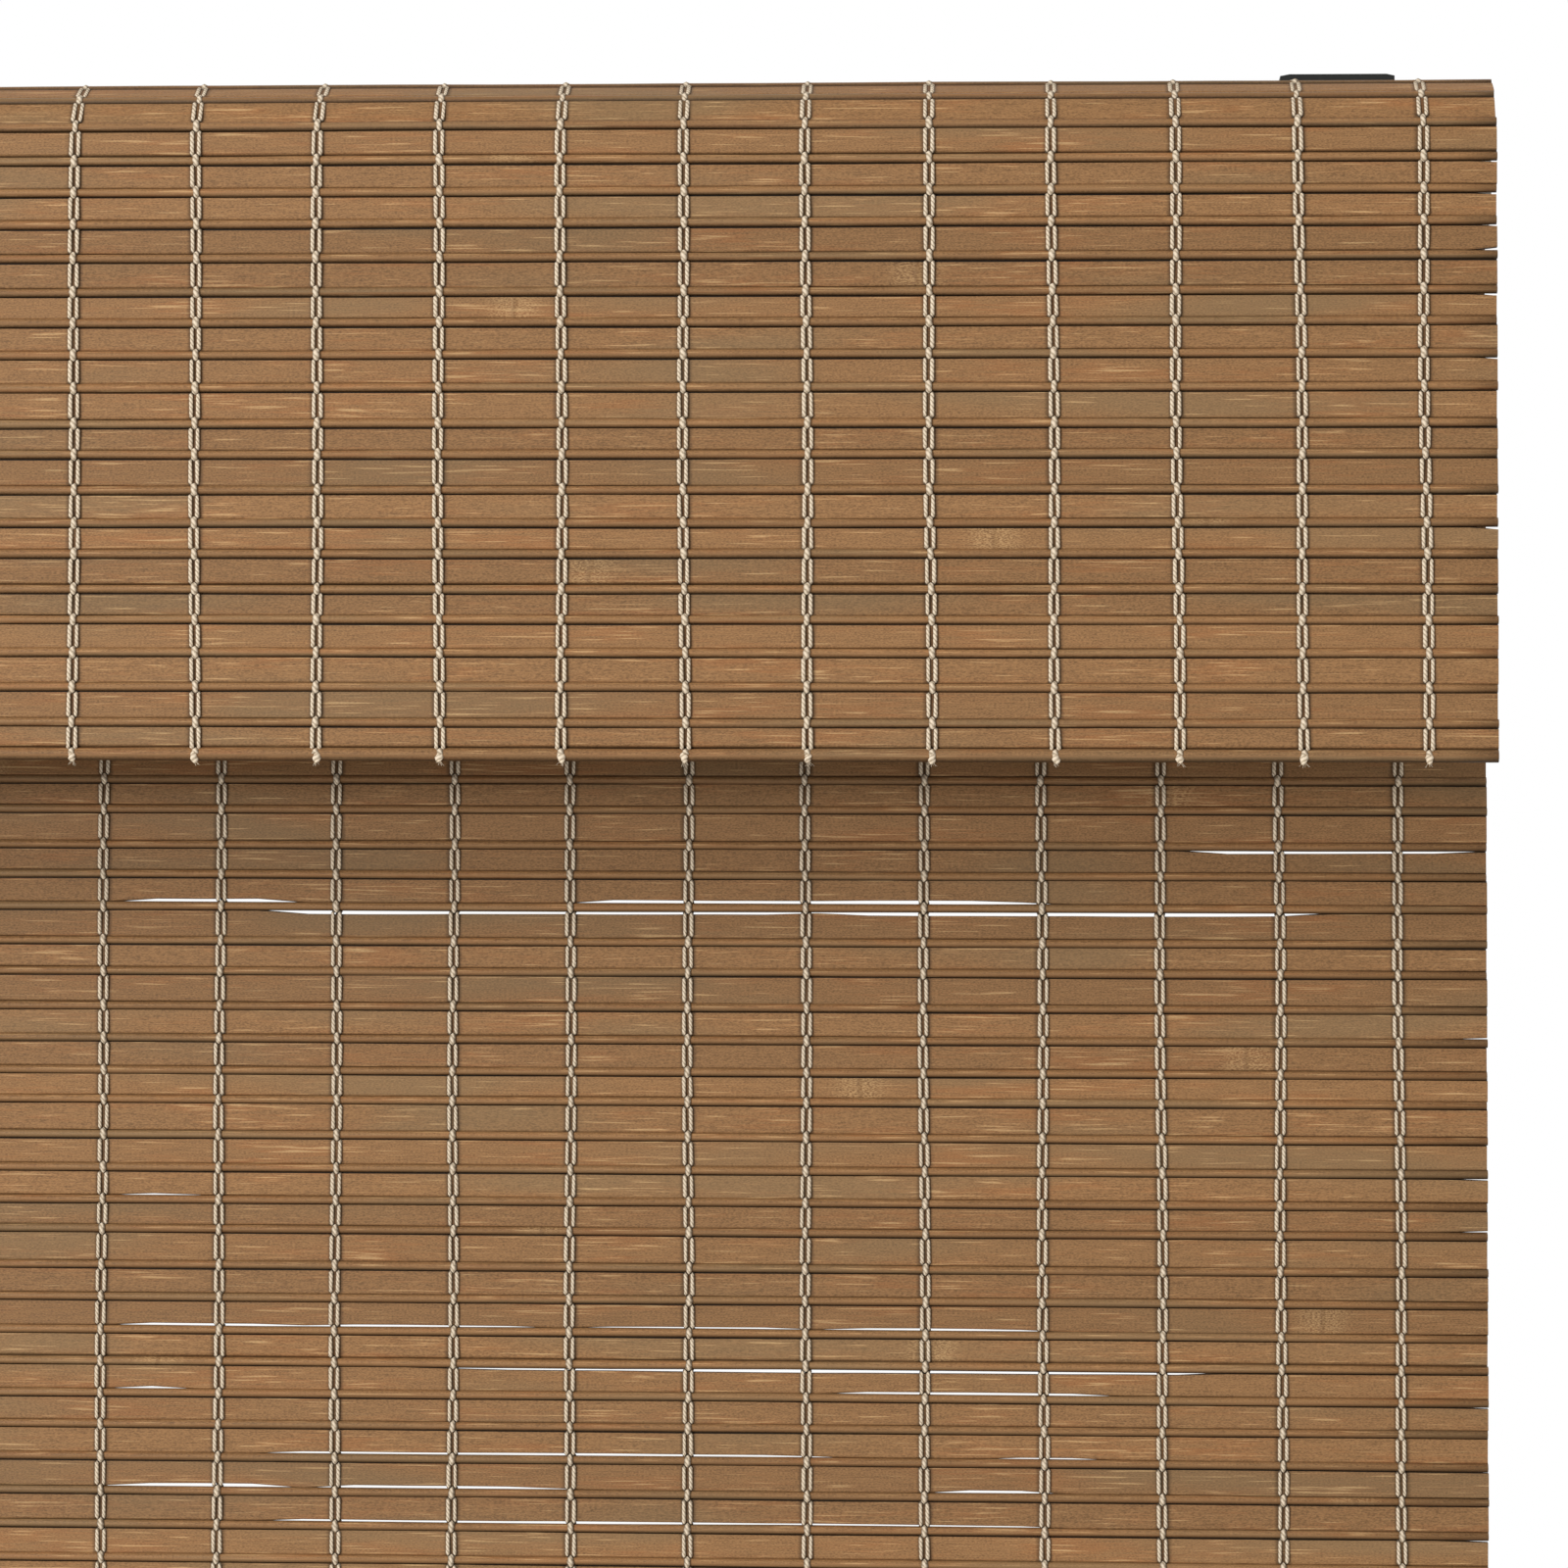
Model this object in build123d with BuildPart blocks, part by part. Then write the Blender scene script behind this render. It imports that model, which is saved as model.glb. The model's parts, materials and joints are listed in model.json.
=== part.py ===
from build123d import *
from math import asin, cos, pi, sin
import os

# Cordless bamboo roman blind: a long reed-mat panel behind a short reed-mat valance.
# Millimetres, +X to the right as seen from the room, -Y towards the room, +Z up.
# The origin is the middle of the four ceiling screw holes, on the brackets' top faces.

# Overall sizes
BLIND_WIDTH = 610.0
PANEL_WIDTH = 612.0
PANEL_SHIFT = 1.7
PANEL_TOP_Z = -7.4
PANEL_FOOT_Z = -1219.0
VALANCE_FOOT_Z = -158.1

# Reed mat: flat split-bamboo slats between round reeds
SLAT_T = 1.2
REED_T = 2.2
REED_W = 2.1
REED_CROWN_W = 0.9
HEM_REED_T = 2.9
HEM_REED_W = 3.0
HEM_CROWN_W = 1.4
VALANCE_PITCH = 7.48
PANEL_PITCH = 7.6
FIRST_REED_DROP = 7.75
ROW_JITTER = 0.42

# Binding twine in columns
TWINE_COLUMNS = 22
TWINE_PITCH = 27.6
TWINE_T = 0.35
TWINE_W = 2.3
TWINE_LIFT = 0.14
TWINE_END_GAP = 0.3
VALANCE_LAST_COLUMN_X = 289.55
PANEL_LAST_COLUMN_X = 287.3

# Planes of the two mats and the bend of the valance over the headrail
VALANCE_Y = -40.9
PANEL_Y = 10.1
BEND_R = 15.9
BEND_Y = VALANCE_Y + BEND_R
VALANCE_TOP_Z = -3.1
BEND_Z = VALANCE_TOP_Z - BEND_R
VALANCE_FLAT = 10.0

# Headrail: folded steel channel, open at the top between two lips
RAIL_LENGTH = 604.0
RAIL_FRONT_Y = -29.0
RAIL_BACK_Y = PANEL_Y - REED_T / 2
RAIL_TOP_Z = -5.2
RAIL_HEIGHT = 30.0
RAIL_T = 1.0
RAIL_BEND_R = 0.6
RAIL_BOTTOM_Z = RAIL_TOP_Z - RAIL_HEIGHT
RAIL_MID_Y = (RAIL_FRONT_Y + RAIL_BACK_Y) / 2
RAIL_DEPTH = RAIL_BACK_Y - RAIL_FRONT_Y
RAIL_MID_Z = RAIL_TOP_Z - RAIL_HEIGHT / 2
FRONT_LIP = 14.0
BACK_LIP = 8.0
CAP_T = 3.0
CAP_PLUG = 9.0
CAP_PLUG_T = 1.6
CAP_INSET = 0.2
FIT_GAP = 0.1
TAPE_INSET = 5.0
OUTLET_SIDES = 12

# Mounting brackets: folded steel clips
BRACKET_X = 271.0
BRACKET_W = 26.0
BRACKET_T = 1.6
BRACKET_FRONT_Y = -23.0
BRACKET_BACK_Y = 17.8
BRACKET_FLANGE = 27.0
BRACKET_CORNER = 2.0
SCREW_HOLE_R = 2.25
CEILING_HOLE_Y = 7.0
WALL_HOLE_Z = -18.0
TONGUE_W = 12.0
TONGUE_Z = RAIL_TOP_Z - RAIL_T - FIT_GAP
FRONT_HOOK = 8.0
FRONT_HOOK_Y = RAIL_FRONT_Y + FRONT_LIP + 1.6
BACK_HOOK = 6.0
BACK_HOOK_Y = RAIL_BACK_Y - BACK_LIP - 2.6

# Lift mechanism on one square shaft
SHAFT_Y = -4.0
SHAFT_Z = -21.0
SHAFT_SIDE = 4.5
SHAFT_LENGTH = 420.0
SPOOL_X = 180.0
SPOOL_CORE_R = 7.5
SPOOL_FLANGE_R = 10.5
SPOOL_FLANGE_X = 9.0
SPOOL_FLANGE_T = 1.5
SPOOL_HALF_LENGTH = 15.0
DRUM_SIDES = 18
JOURNAL_R = 3.95
RUNNING_GAP = 0.05
FORK_PINCH = 0.3
CRADLE_WALL_X = 12.0
CRADLE_WALL_T = 2.0
CRADLE_LENGTH = 32.0
CRADLE_BASE_T = 1.5
CRADLE_FOOT_HALF = 11.0
CRADLE_HEAD_HALF = 7.0
CRADLE_RISE = 6.0
CORD_Y = SHAFT_Y + SPOOL_CORE_R
CORD_HOLE_R = 1.75
OUTLET_R = 3.0
OUTLET_FLANGE_R = 4.9
OUTLET_FLANGE_T = 1.4
OUTLET_RISE = 1.2
CORD_SLOT_Z = RAIL_BOTTOM_Z - 12.0
CORD_SLOT_W = 3.0
CORD_SLOT_H = 4.5

# Spring motor
STORE_Y = -19.5
STORE_CORE_R = 3.6
STORE_JOURNAL_R = 2.45
OUTPUT_CORE_R = 5.5
SPRING_T = 0.25
SPRING_W = 14.0
SPRING_COIL_R = 5.6
SPRING_GAP = 0.15
HOUSING_X = 16.0
HOUSING_FRONT_Y = -27.0
HOUSING_BACK_Y = 7.0
HOUSING_TOP_Z = -10.5
HOUSING_T = 1.3

# Batten that clamps the panel to the headrail, the bottom rail and the fold rings
BATTEN_T = 3.0
BATTEN_H = 16.0
BATTEN_Z = -20.0
BATTEN_CHAMFER = 0.8
BODY_GAP = 0.3
FOOT_RAIL_H = 30.0
FOOT_RAIL_T = 9.0
FOOT_RAIL_LENGTH = 606.0
FOOT_RAIL_Z = -1202.5
FOOT_TAPE_T = 0.8
FOOT_RAIL_ROUND = 2.0
FOLD_SPACING = 200.0
FOLD_ROWS = 5
RING_R = 5.0
RING_BORE_R = 3.4
RING_T = 1.6
RING_SIDES = 10
RING_FOOT = 9.0
RING_FOOT_T = 1.2
RING_SINK = 0.5

# Openings that show as light through the mat: reed number, side (1 above, -1 below), from x, to x.
# Reeds of the valance count up from its foot, reeds of the panel count down from its top.
SLIT_H = 0.5
VALANCE_SLITS = [
    (18, -1, 300.5, 306.0), (17, -1, 301.0, 306.0), (16, -1, 300.0, 306.0), (15, 1, 300.0, 306.0),
    (14, -1, 301.5, 306.0), (12, -1, 300.5, 306.0), (7, -1, 301.0, 306.0), (10, -1, -306.0, -300.5),
]
PANEL_SLITS = [
    (21, -1, 241.0, 304.0), (23, 1, -12.0, 23.0), (23, -1, 24.0, 151.0), (23, -1, 153.0, 262.0),
    (23, 1, 99.0, 200.0), (27, 1, 298.0, 308.0), (31, -1, 298.0, 308.0), (32, 1, -12.0, 6.0),
    (33, 1, 299.0, 308.0), (36, 1, -11.0, 31.0), (36, 1, 34.0, 86.0), (37, -1, 67.0, 168.0),
    (37, -1, 171.0, 241.0), (38, 1, -12.0, 0.0), (38, 1, 161.0, 212.0), (38, -1, 299.0, 308.0),
    (40, 1, 28.0, 152.0), (40, -1, 298.5, 308.0), (41, 1, -13.0, 26.0), (42, 1, 24.0, 205.0),
    (42, -1, 299.5, 308.0),
]
SCATTERED_SLITS = 30
SCATTER_FROM_REED = 46
SCATTER_REACH = 270.0
EDGE_SLIT_X = 304.0
EDGE_SLIT_HALF = 4.0


def row_jitter(i):
    """Small uneven step of row i, between -1 and 1, that gives each slat its own width."""
    return sin(2.4 * i * i + 1.7 * i)


def valance_reeds():
    """Distance of each reed's middle along the valance, measured up from its foot."""
    length = valance_length()
    count = int((length - HEM_REED_W) / VALANCE_PITCH)
    reeds = [HEM_REED_W / 2]
    for i in range(1, count + 1):
        reeds.append(HEM_REED_W / 2 + VALANCE_PITCH * i + ROW_JITTER * row_jitter(i))
    return reeds


def valance_length():
    return (BEND_Z - VALANCE_FOOT_Z) + BEND_R * pi / 2 + VALANCE_FLAT


def valance_point(s, out):
    """Section point of the valance at distance s up from the foot, out mm outside its middle surface."""
    straight = BEND_Z - VALANCE_FOOT_Z
    turn = (s - straight) / BEND_R
    if turn <= 0:
        return (VALANCE_Y - out, VALANCE_FOOT_Z + s)
    if turn <= pi / 2:
        radius = BEND_R + out
        return (BEND_Y - radius * cos(turn), BEND_Z + radius * sin(turn))
    return (BEND_Y + (turn - pi / 2) * BEND_R, VALANCE_TOP_Z + out)


def panel_reeds():
    """Height of each reed's middle in the panel, from the top down, the hem reed last."""
    first = PANEL_TOP_Z - FIRST_REED_DROP
    count = int((first - PANEL_FOOT_Z - HEM_REED_W / 2) / PANEL_PITCH - 0.5)
    reeds = []
    for i in range(count + 1):
        reeds.append(first - PANEL_PITCH * i + ROW_JITTER * row_jitter(i + 40))
    return reeds + [PANEL_FOOT_Z + HEM_REED_W / 2]


def side_outline(reeds, sizes, start, end, crowned):
    """One face of the mat as (distance, height) points: flat slats with a ridge at each reed.

    The ridge has a flat crown on the side towards the room and comes to an edge on the other.
    """
    slat = SLAT_T / 2
    points = []
    for middle, (width, crown, half) in zip(reeds, sizes):
        points.append((middle - width / 2, slat))
        if crowned:
            points.append((middle - crown / 2, half))
            points.append((middle + crown / 2, half))
        else:
            points.append((middle, half))
        points.append((middle + width / 2, slat))
    if points[0][0] > start + 0.01:
        points.insert(0, (start, slat))
    if points[-1][0] < end - 0.01:
        points.append((end, slat))
    return points


def reed_sizes(count, hem):
    """Width, crown width and half thickness of each reed, thicker at index hem."""
    sizes = [(REED_W, REED_CROWN_W, REED_T / 2)] * count
    sizes[hem] = (HEM_REED_W, HEM_CROWN_W, HEM_REED_T / 2)
    return sizes


def column_xs(last_x):
    return [last_x - TWINE_PITCH * i for i in range(TWINE_COLUMNS)]


def scattered_slits(reed_count):
    """Short openings over the rest of the panel, spread by a formula, one row in two."""
    slits = []
    for i in range(SCATTERED_SLITS):
        reed = SCATTER_FROM_REED + int(i * (reed_count - SCATTER_FROM_REED - 8) / SCATTERED_SLITS)
        side = 1 if i % 3 else -1
        middle = SCATTER_REACH * sin(2.399 * i * i + i)
        half = 14.0 + 13.0 * sin(1.3 * i)
        if i % 5 == 4:
            middle, half = (-EDGE_SLIT_X if i % 2 else EDGE_SLIT_X) + PANEL_SHIFT, EDGE_SLIT_HALF
        slits.append((reed, side, middle - half, middle + half))
    return slits


# Valance mat: one wall, its reeds as ridges, bent back over the headrail
valance_rows = valance_reeds()
valance_sizes = reed_sizes(len(valance_rows), 0)
front_side = side_outline(valance_rows, valance_sizes, 0.0, valance_length(), True)
back_side = side_outline(valance_rows, valance_sizes, 0.0, valance_length(), False)
front_points = [valance_point(s, h) for s, h in front_side]
back_points = [valance_point(s, -h) for s, h in back_side]
with BuildPart() as valance_mat:
    with BuildSketch(Plane.YZ.offset(-BLIND_WIDTH / 2)):
        with BuildLine():
            Polyline(*front_points, *reversed(back_points), close=True)
        make_face()
    extrude(amount=BLIND_WIDTH)
    with BuildSketch(Plane.XZ.offset(-VALANCE_Y)):
        for reed, side, x_from, x_to in VALANCE_SLITS:
            edge_z = VALANCE_FOOT_Z + valance_rows[reed] + side * (REED_W + SLIT_H) / 2
            with Locations(((x_from + x_to) / 2, edge_z)):
                Rectangle(x_to - x_from, SLIT_H)
    extrude(amount=REED_T, both=True, mode=Mode.SUBTRACT)
valance_mat.part.label = "valance_mat"

# Valance twine: a flat pair of strands in each column, drawn tight from the crown of one reed to the next
strand_foot = HEM_REED_W + TWINE_END_GAP
bend_from = BEND_Z - VALANCE_FOOT_Z
bend_to = bend_from + BEND_R * pi / 2
crowns_passed = [s for s in valance_rows if bend_from < s < bend_to]
strand_stops = [strand_foot, bend_from] + crowns_passed + [bend_to]
strand_lifts = [0.0 if s <= bend_from else TWINE_LIFT for s in strand_stops]
strand_outer = [valance_point(s, REED_T / 2 + TWINE_T + lift) for s, lift in zip(strand_stops, strand_lifts)]
strand_inner = [valance_point(s, REED_T / 2 + lift) for s, lift in zip(strand_stops, strand_lifts)]
with BuildPart() as valance_twine:
    for x in column_xs(VALANCE_LAST_COLUMN_X):
        with BuildSketch(Plane.YZ.offset(x - TWINE_W / 2)):
            with BuildLine():
                Polyline(*strand_outer, *reversed(strand_inner), close=True)
            make_face()
        extrude(amount=TWINE_W)
valance_twine.part.label = "valance_twine"

# Panel mat: one straight wall, clamped at its top behind the headrail
panel_rows = panel_reeds()
panel_sizes = reed_sizes(len(panel_rows), len(panel_rows) - 1)
panel_down = [PANEL_TOP_Z - z for z in panel_rows]
front_side = side_outline(panel_down, panel_sizes, 0.0, PANEL_TOP_Z - PANEL_FOOT_Z, True)
back_side = side_outline(panel_down, panel_sizes, 0.0, PANEL_TOP_Z - PANEL_FOOT_Z, False)
front_points = [(PANEL_Y - h, PANEL_TOP_Z - s) for s, h in front_side]
back_points = [(PANEL_Y + h, PANEL_TOP_Z - s) for s, h in back_side]
with BuildPart() as panel_mat:
    with BuildSketch(Plane.YZ.offset(PANEL_SHIFT - PANEL_WIDTH / 2)):
        with BuildLine():
            Polyline(*front_points, *reversed(back_points), close=True)
        make_face()
    extrude(amount=PANEL_WIDTH)
    with BuildSketch(Plane.XZ.offset(-PANEL_Y)):
        for reed, side, x_from, x_to in PANEL_SLITS + scattered_slits(len(panel_rows)):
            edge_z = panel_rows[reed] + side * (REED_W + SLIT_H) / 2
            with Locations(((x_from + x_to) / 2, edge_z)):
                Rectangle(x_to - x_from, SLIT_H)
        with Locations((-SPOOL_X, CORD_SLOT_Z), (SPOOL_X, CORD_SLOT_Z)):
            Rectangle(CORD_SLOT_W, CORD_SLOT_H)
    extrude(amount=REED_T, both=True, mode=Mode.SUBTRACT)
panel_mat.part.label = "panel_mat"

# Panel twine: the same strands down the whole front of the panel below the headrail
strand_top_z = RAIL_BOTTOM_Z - RAIL_T
strand_height = strand_top_z - (PANEL_FOOT_Z + strand_foot)
with BuildPart() as panel_twine:
    with Locations(*[(x, PANEL_Y - (REED_T + TWINE_T) / 2, strand_top_z - strand_height / 2)
                     for x in column_xs(PANEL_LAST_COLUMN_X)]):
        Box(TWINE_W, TWINE_T, strand_height)
panel_twine.part.label = "panel_twine"

# Headrail: channel with in-turned lips and two holes in its floor for the cord outlets
with BuildPart() as headrail:
    with BuildSketch(Plane.YZ.offset(-RAIL_LENGTH / 2)):
        with Locations((RAIL_MID_Y, RAIL_MID_Z)):
            RectangleRounded(RAIL_DEPTH, RAIL_HEIGHT, RAIL_BEND_R + RAIL_T)
            RectangleRounded(RAIL_DEPTH - 2 * RAIL_T, RAIL_HEIGHT - 2 * RAIL_T, RAIL_BEND_R, mode=Mode.SUBTRACT)
        mouth = RAIL_DEPTH - FRONT_LIP - BACK_LIP
        with Locations((RAIL_FRONT_Y + FRONT_LIP + mouth / 2, RAIL_TOP_Z)):
            Rectangle(mouth, 4 * RAIL_T, mode=Mode.SUBTRACT)
    extrude(amount=RAIL_LENGTH)
    with BuildSketch(Plane.XY.offset(RAIL_BOTTOM_Z)):
        with Locations((-SPOOL_X, CORD_Y), (SPOOL_X, CORD_Y)):
            RegularPolygon(OUTLET_R, OUTLET_SIDES)
    extrude(amount=2 * RAIL_T, mode=Mode.SUBTRACT)
headrail.part.label = "headrail"

# End caps: a moulded flange over each end of the headrail, with a hollow plug inside it
plug_depth = RAIL_DEPTH - 2 * (RAIL_T + FIT_GAP)
plug_height = RAIL_HEIGHT - 2 * (RAIL_T + FIT_GAP)
with BuildPart() as end_caps:
    for side in (-1, 1):
        end_x = side * RAIL_LENGTH / 2
        with BuildSketch(Plane.YZ.offset(min(end_x, end_x + side * CAP_T))):
            with Locations((RAIL_MID_Y, RAIL_MID_Z)):
                RectangleRounded(RAIL_DEPTH - 2 * CAP_INSET, RAIL_HEIGHT - 2 * CAP_INSET, RAIL_BEND_R + RAIL_T)
        extrude(amount=CAP_T)
        with BuildSketch(Plane.YZ.offset(min(end_x, end_x - side * CAP_PLUG))):
            with Locations((RAIL_MID_Y, RAIL_MID_Z)):
                RectangleRounded(plug_depth, plug_height, RAIL_BEND_R)
                Rectangle(plug_depth - 2 * CAP_PLUG_T, plug_height - 2 * CAP_PLUG_T, mode=Mode.SUBTRACT)
        extrude(amount=CAP_PLUG)
end_caps.part.label = "end_caps"

# Mounting brackets: a plate against the ceiling, a flange against the wall, and two tongues that go down
# between the headrail's lips and hook under them
hook_foot_z = TONGUE_Z - BRACKET_T
front_hook = [(FRONT_HOOK_Y, -BRACKET_T), (FRONT_HOOK_Y, TONGUE_Z), (FRONT_HOOK_Y - FRONT_HOOK, TONGUE_Z),
              (FRONT_HOOK_Y - FRONT_HOOK, hook_foot_z), (FRONT_HOOK_Y + BRACKET_T, hook_foot_z),
              (FRONT_HOOK_Y + BRACKET_T, -BRACKET_T)]
back_hook = [(BACK_HOOK_Y, -BRACKET_T), (BACK_HOOK_Y, TONGUE_Z), (BACK_HOOK_Y + BACK_HOOK, TONGUE_Z),
             (BACK_HOOK_Y + BACK_HOOK, hook_foot_z), (BACK_HOOK_Y - BRACKET_T, hook_foot_z),
             (BACK_HOOK_Y - BRACKET_T, -BRACKET_T)]
with BuildPart() as mounting_brackets:
    for bracket_x in (-BRACKET_X, BRACKET_X):
        with BuildSketch(Plane.XY.offset(-BRACKET_T)):
            with BuildLine():
                Polyline((bracket_x - BRACKET_W / 2, BRACKET_BACK_Y),
                         (bracket_x - BRACKET_W / 2, BRACKET_FRONT_Y + BRACKET_CORNER),
                         (bracket_x - BRACKET_W / 2 + BRACKET_CORNER, BRACKET_FRONT_Y),
                         (bracket_x + BRACKET_W / 2 - BRACKET_CORNER, BRACKET_FRONT_Y),
                         (bracket_x + BRACKET_W / 2, BRACKET_FRONT_Y + BRACKET_CORNER),
                         (bracket_x + BRACKET_W / 2, BRACKET_BACK_Y), close=True)
            make_face()
            with Locations((bracket_x, -CEILING_HOLE_Y), (bracket_x, CEILING_HOLE_Y)):
                Circle(SCREW_HOLE_R, mode=Mode.SUBTRACT)
        extrude(amount=BRACKET_T)
        with BuildSketch(Plane.XZ.offset(-BRACKET_BACK_Y)):
            with Locations((bracket_x, -(BRACKET_FLANGE + BRACKET_T) / 2)):
                Rectangle(BRACKET_W, BRACKET_FLANGE - BRACKET_T)
            with Locations((bracket_x, WALL_HOLE_Z)):
                Circle(SCREW_HOLE_R, mode=Mode.SUBTRACT)
        extrude(amount=BRACKET_T)
        with BuildSketch(Plane.YZ.offset(bracket_x - TONGUE_W / 2)):
            for hook in (front_hook, back_hook):
                with BuildLine():
                    Polyline(*hook, close=True)
                make_face()
        extrude(amount=TONGUE_W)
mounting_brackets.part.label = "mounting_brackets"

# Hook-and-loop tape that holds the valance's flat top on the headrail's front lip
with BuildPart() as valance_tape:
    tape_top = VALANCE_TOP_Z - REED_T / 2
    with Locations((0, BEND_Y + VALANCE_FLAT / 2, (tape_top + RAIL_TOP_Z) / 2)):
        Box(RAIL_LENGTH - 2 * TAPE_INSET, VALANCE_FLAT - RAIL_T, tape_top - RAIL_TOP_Z)
valance_tape.part.label = "valance_tape"

# Batten that clamps the panel's top against the back of the headrail
batten_y = PANEL_Y + REED_T / 2
with BuildPart() as rear_batten:
    with Locations((0, batten_y + BATTEN_T / 2, BATTEN_Z)):
        Box(RAIL_LENGTH, BATTEN_T, BATTEN_H)
    chamfer(rear_batten.edges().filter_by(Axis.X).group_by(Axis.Y)[-1], BATTEN_CHAMFER)
rear_batten.part.label = "rear_batten"

# Spool cradles: a pair of forked walls on a base that lies on the headrail's floor, open to the cord outlet
floor_z = RAIL_BOTTOM_Z + RAIL_T
with BuildPart() as spool_cradles:
    for cradle_x in (-SPOOL_X, SPOOL_X):
        with BuildSketch(Plane.XY.offset(floor_z)):
            with Locations((cradle_x, RAIL_MID_Y)):
                Rectangle(CRADLE_LENGTH, RAIL_DEPTH - 2 * (RAIL_T + RAIL_BEND_R + FIT_GAP))
            with Locations((cradle_x, CORD_Y)):
                RegularPolygon(OUTLET_R + FIT_GAP + RAIL_T, OUTLET_SIDES, mode=Mode.SUBTRACT)
        extrude(amount=CRADLE_BASE_T)
        for wall in (-1, 1):
            wall_x = cradle_x + wall * CRADLE_WALL_X
            with BuildSketch(Plane.YZ.offset(wall_x if wall > 0 else wall_x - CRADLE_WALL_T)):
                with BuildLine():
                    Polyline((SHAFT_Y - CRADLE_FOOT_HALF, floor_z), (SHAFT_Y + CRADLE_FOOT_HALF, floor_z),
                             (SHAFT_Y + CRADLE_HEAD_HALF, SHAFT_Z + CRADLE_RISE),
                             (SHAFT_Y - CRADLE_HEAD_HALF, SHAFT_Z + CRADLE_RISE), close=True)
                make_face()
                with Locations((SHAFT_Y, SHAFT_Z)):
                    Circle(JOURNAL_R + RUNNING_GAP, mode=Mode.SUBTRACT)
                with Locations((SHAFT_Y, SHAFT_Z + CRADLE_RISE)):
                    Rectangle(2 * (JOURNAL_R - FORK_PINCH), 2 * CRADLE_RISE, mode=Mode.SUBTRACT)
            extrude(amount=CRADLE_WALL_T)
spool_cradles.part.label = "spool_cradles"

# Cord outlets: a flanged bush in each hole of the headrail's floor
with BuildPart() as cord_outlets:
    for radius, height in ((OUTLET_R, RAIL_T + OUTLET_RISE), (OUTLET_FLANGE_R, -OUTLET_FLANGE_T)):
        with BuildSketch(Plane.XY.offset(RAIL_BOTTOM_Z)):
            with Locations((-SPOOL_X, CORD_Y), (SPOOL_X, CORD_Y)):
                RegularPolygon(radius, OUTLET_SIDES)
                RegularPolygon(CORD_HOLE_R, OUTLET_SIDES, mode=Mode.SUBTRACT)
        extrude(amount=height)
cord_outlets.part.label = "cord_outlets"

# Spring motor housing: an open box whose end walls fork round the drums' journals, and its flat cover
housing_mid_y = (HOUSING_FRONT_Y + HOUSING_BACK_Y) / 2
housing_depth = HOUSING_BACK_Y - HOUSING_FRONT_Y
with BuildPart() as motor_housing:
    with BuildSketch(Plane.XY.offset(floor_z)):
        with Locations((0, housing_mid_y)):
            Rectangle(2 * HOUSING_X, housing_depth)
    extrude(amount=HOUSING_TOP_Z - floor_z)
    with BuildSketch(Plane.XY.offset(HOUSING_TOP_Z)):
        with Locations((0, housing_mid_y)):
            Rectangle(2 * (HOUSING_X - HOUSING_T), housing_depth - 2 * HOUSING_T)
    extrude(amount=-(HOUSING_TOP_Z - floor_z - HOUSING_T), mode=Mode.SUBTRACT)
    with BuildSketch(Plane.YZ.offset(-HOUSING_X)):
        for y, radius in ((SHAFT_Y, JOURNAL_R), (STORE_Y, STORE_JOURNAL_R)):
            with Locations((y, SHAFT_Z)):
                Circle(radius + RUNNING_GAP)
            with Locations((y, HOUSING_TOP_Z)):
                Rectangle(2 * (radius - FORK_PINCH), 2 * (HOUSING_TOP_Z - SHAFT_Z))
    extrude(amount=2 * HOUSING_X, mode=Mode.SUBTRACT)
motor_housing.part.label = "motor_housing"

with BuildPart() as motor_cover:
    with BuildSketch(Plane.XY.offset(HOUSING_TOP_Z)):
        with Locations((0, housing_mid_y)):
            Rectangle(2 * HOUSING_X, housing_depth)
    extrude(amount=HOUSING_T)
motor_cover.part.label = "motor_cover"

# Spring: coiled on the storage drum, it crosses over to meet the output drum from below
output_coil_r = OUTPUT_CORE_R + FIT_GAP + SPRING_T
centre_gap = SHAFT_Y - STORE_Y
cross_angle = asin((SPRING_COIL_R + output_coil_r - SPRING_T) / centre_gap)
across = (sin(cross_angle), cos(cross_angle))
store_tangent = (STORE_Y + across[0] * SPRING_COIL_R, SHAFT_Z + across[1] * SPRING_COIL_R)
output_tangent = (SHAFT_Y - across[0] * (output_coil_r - SPRING_T), SHAFT_Z - across[1] * (output_coil_r - SPRING_T))
with BuildPart() as spring_band:
    with BuildSketch(Plane.YZ.offset(-SPRING_W / 2)):
        with Locations((STORE_Y, SHAFT_Z)):
            RegularPolygon(SPRING_COIL_R, DRUM_SIDES)
            RegularPolygon(STORE_CORE_R + SPRING_GAP, DRUM_SIDES, mode=Mode.SUBTRACT)
        with BuildLine():
            Polyline(store_tangent, output_tangent,
                     (output_tangent[0] - across[0] * SPRING_T, output_tangent[1] - across[1] * SPRING_T),
                     (store_tangent[0] - across[0] * SPRING_T, store_tangent[1] - across[1] * SPRING_T), close=True)
        make_face()
    extrude(amount=SPRING_W)
spring_band.part.label = "spring_band"


# Lift shaft and what turns with it: two cord spools and the motor's output drum
with BuildPart() as lift_shaft:
    with BuildSketch(Plane.YZ.offset(-SHAFT_LENGTH / 2)):
        with Locations((SHAFT_Y, SHAFT_Z)):
            Rectangle(SHAFT_SIDE, SHAFT_SIDE)
    extrude(amount=SHAFT_LENGTH)
lift_shaft.part.label = "lift_shaft"

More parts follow.
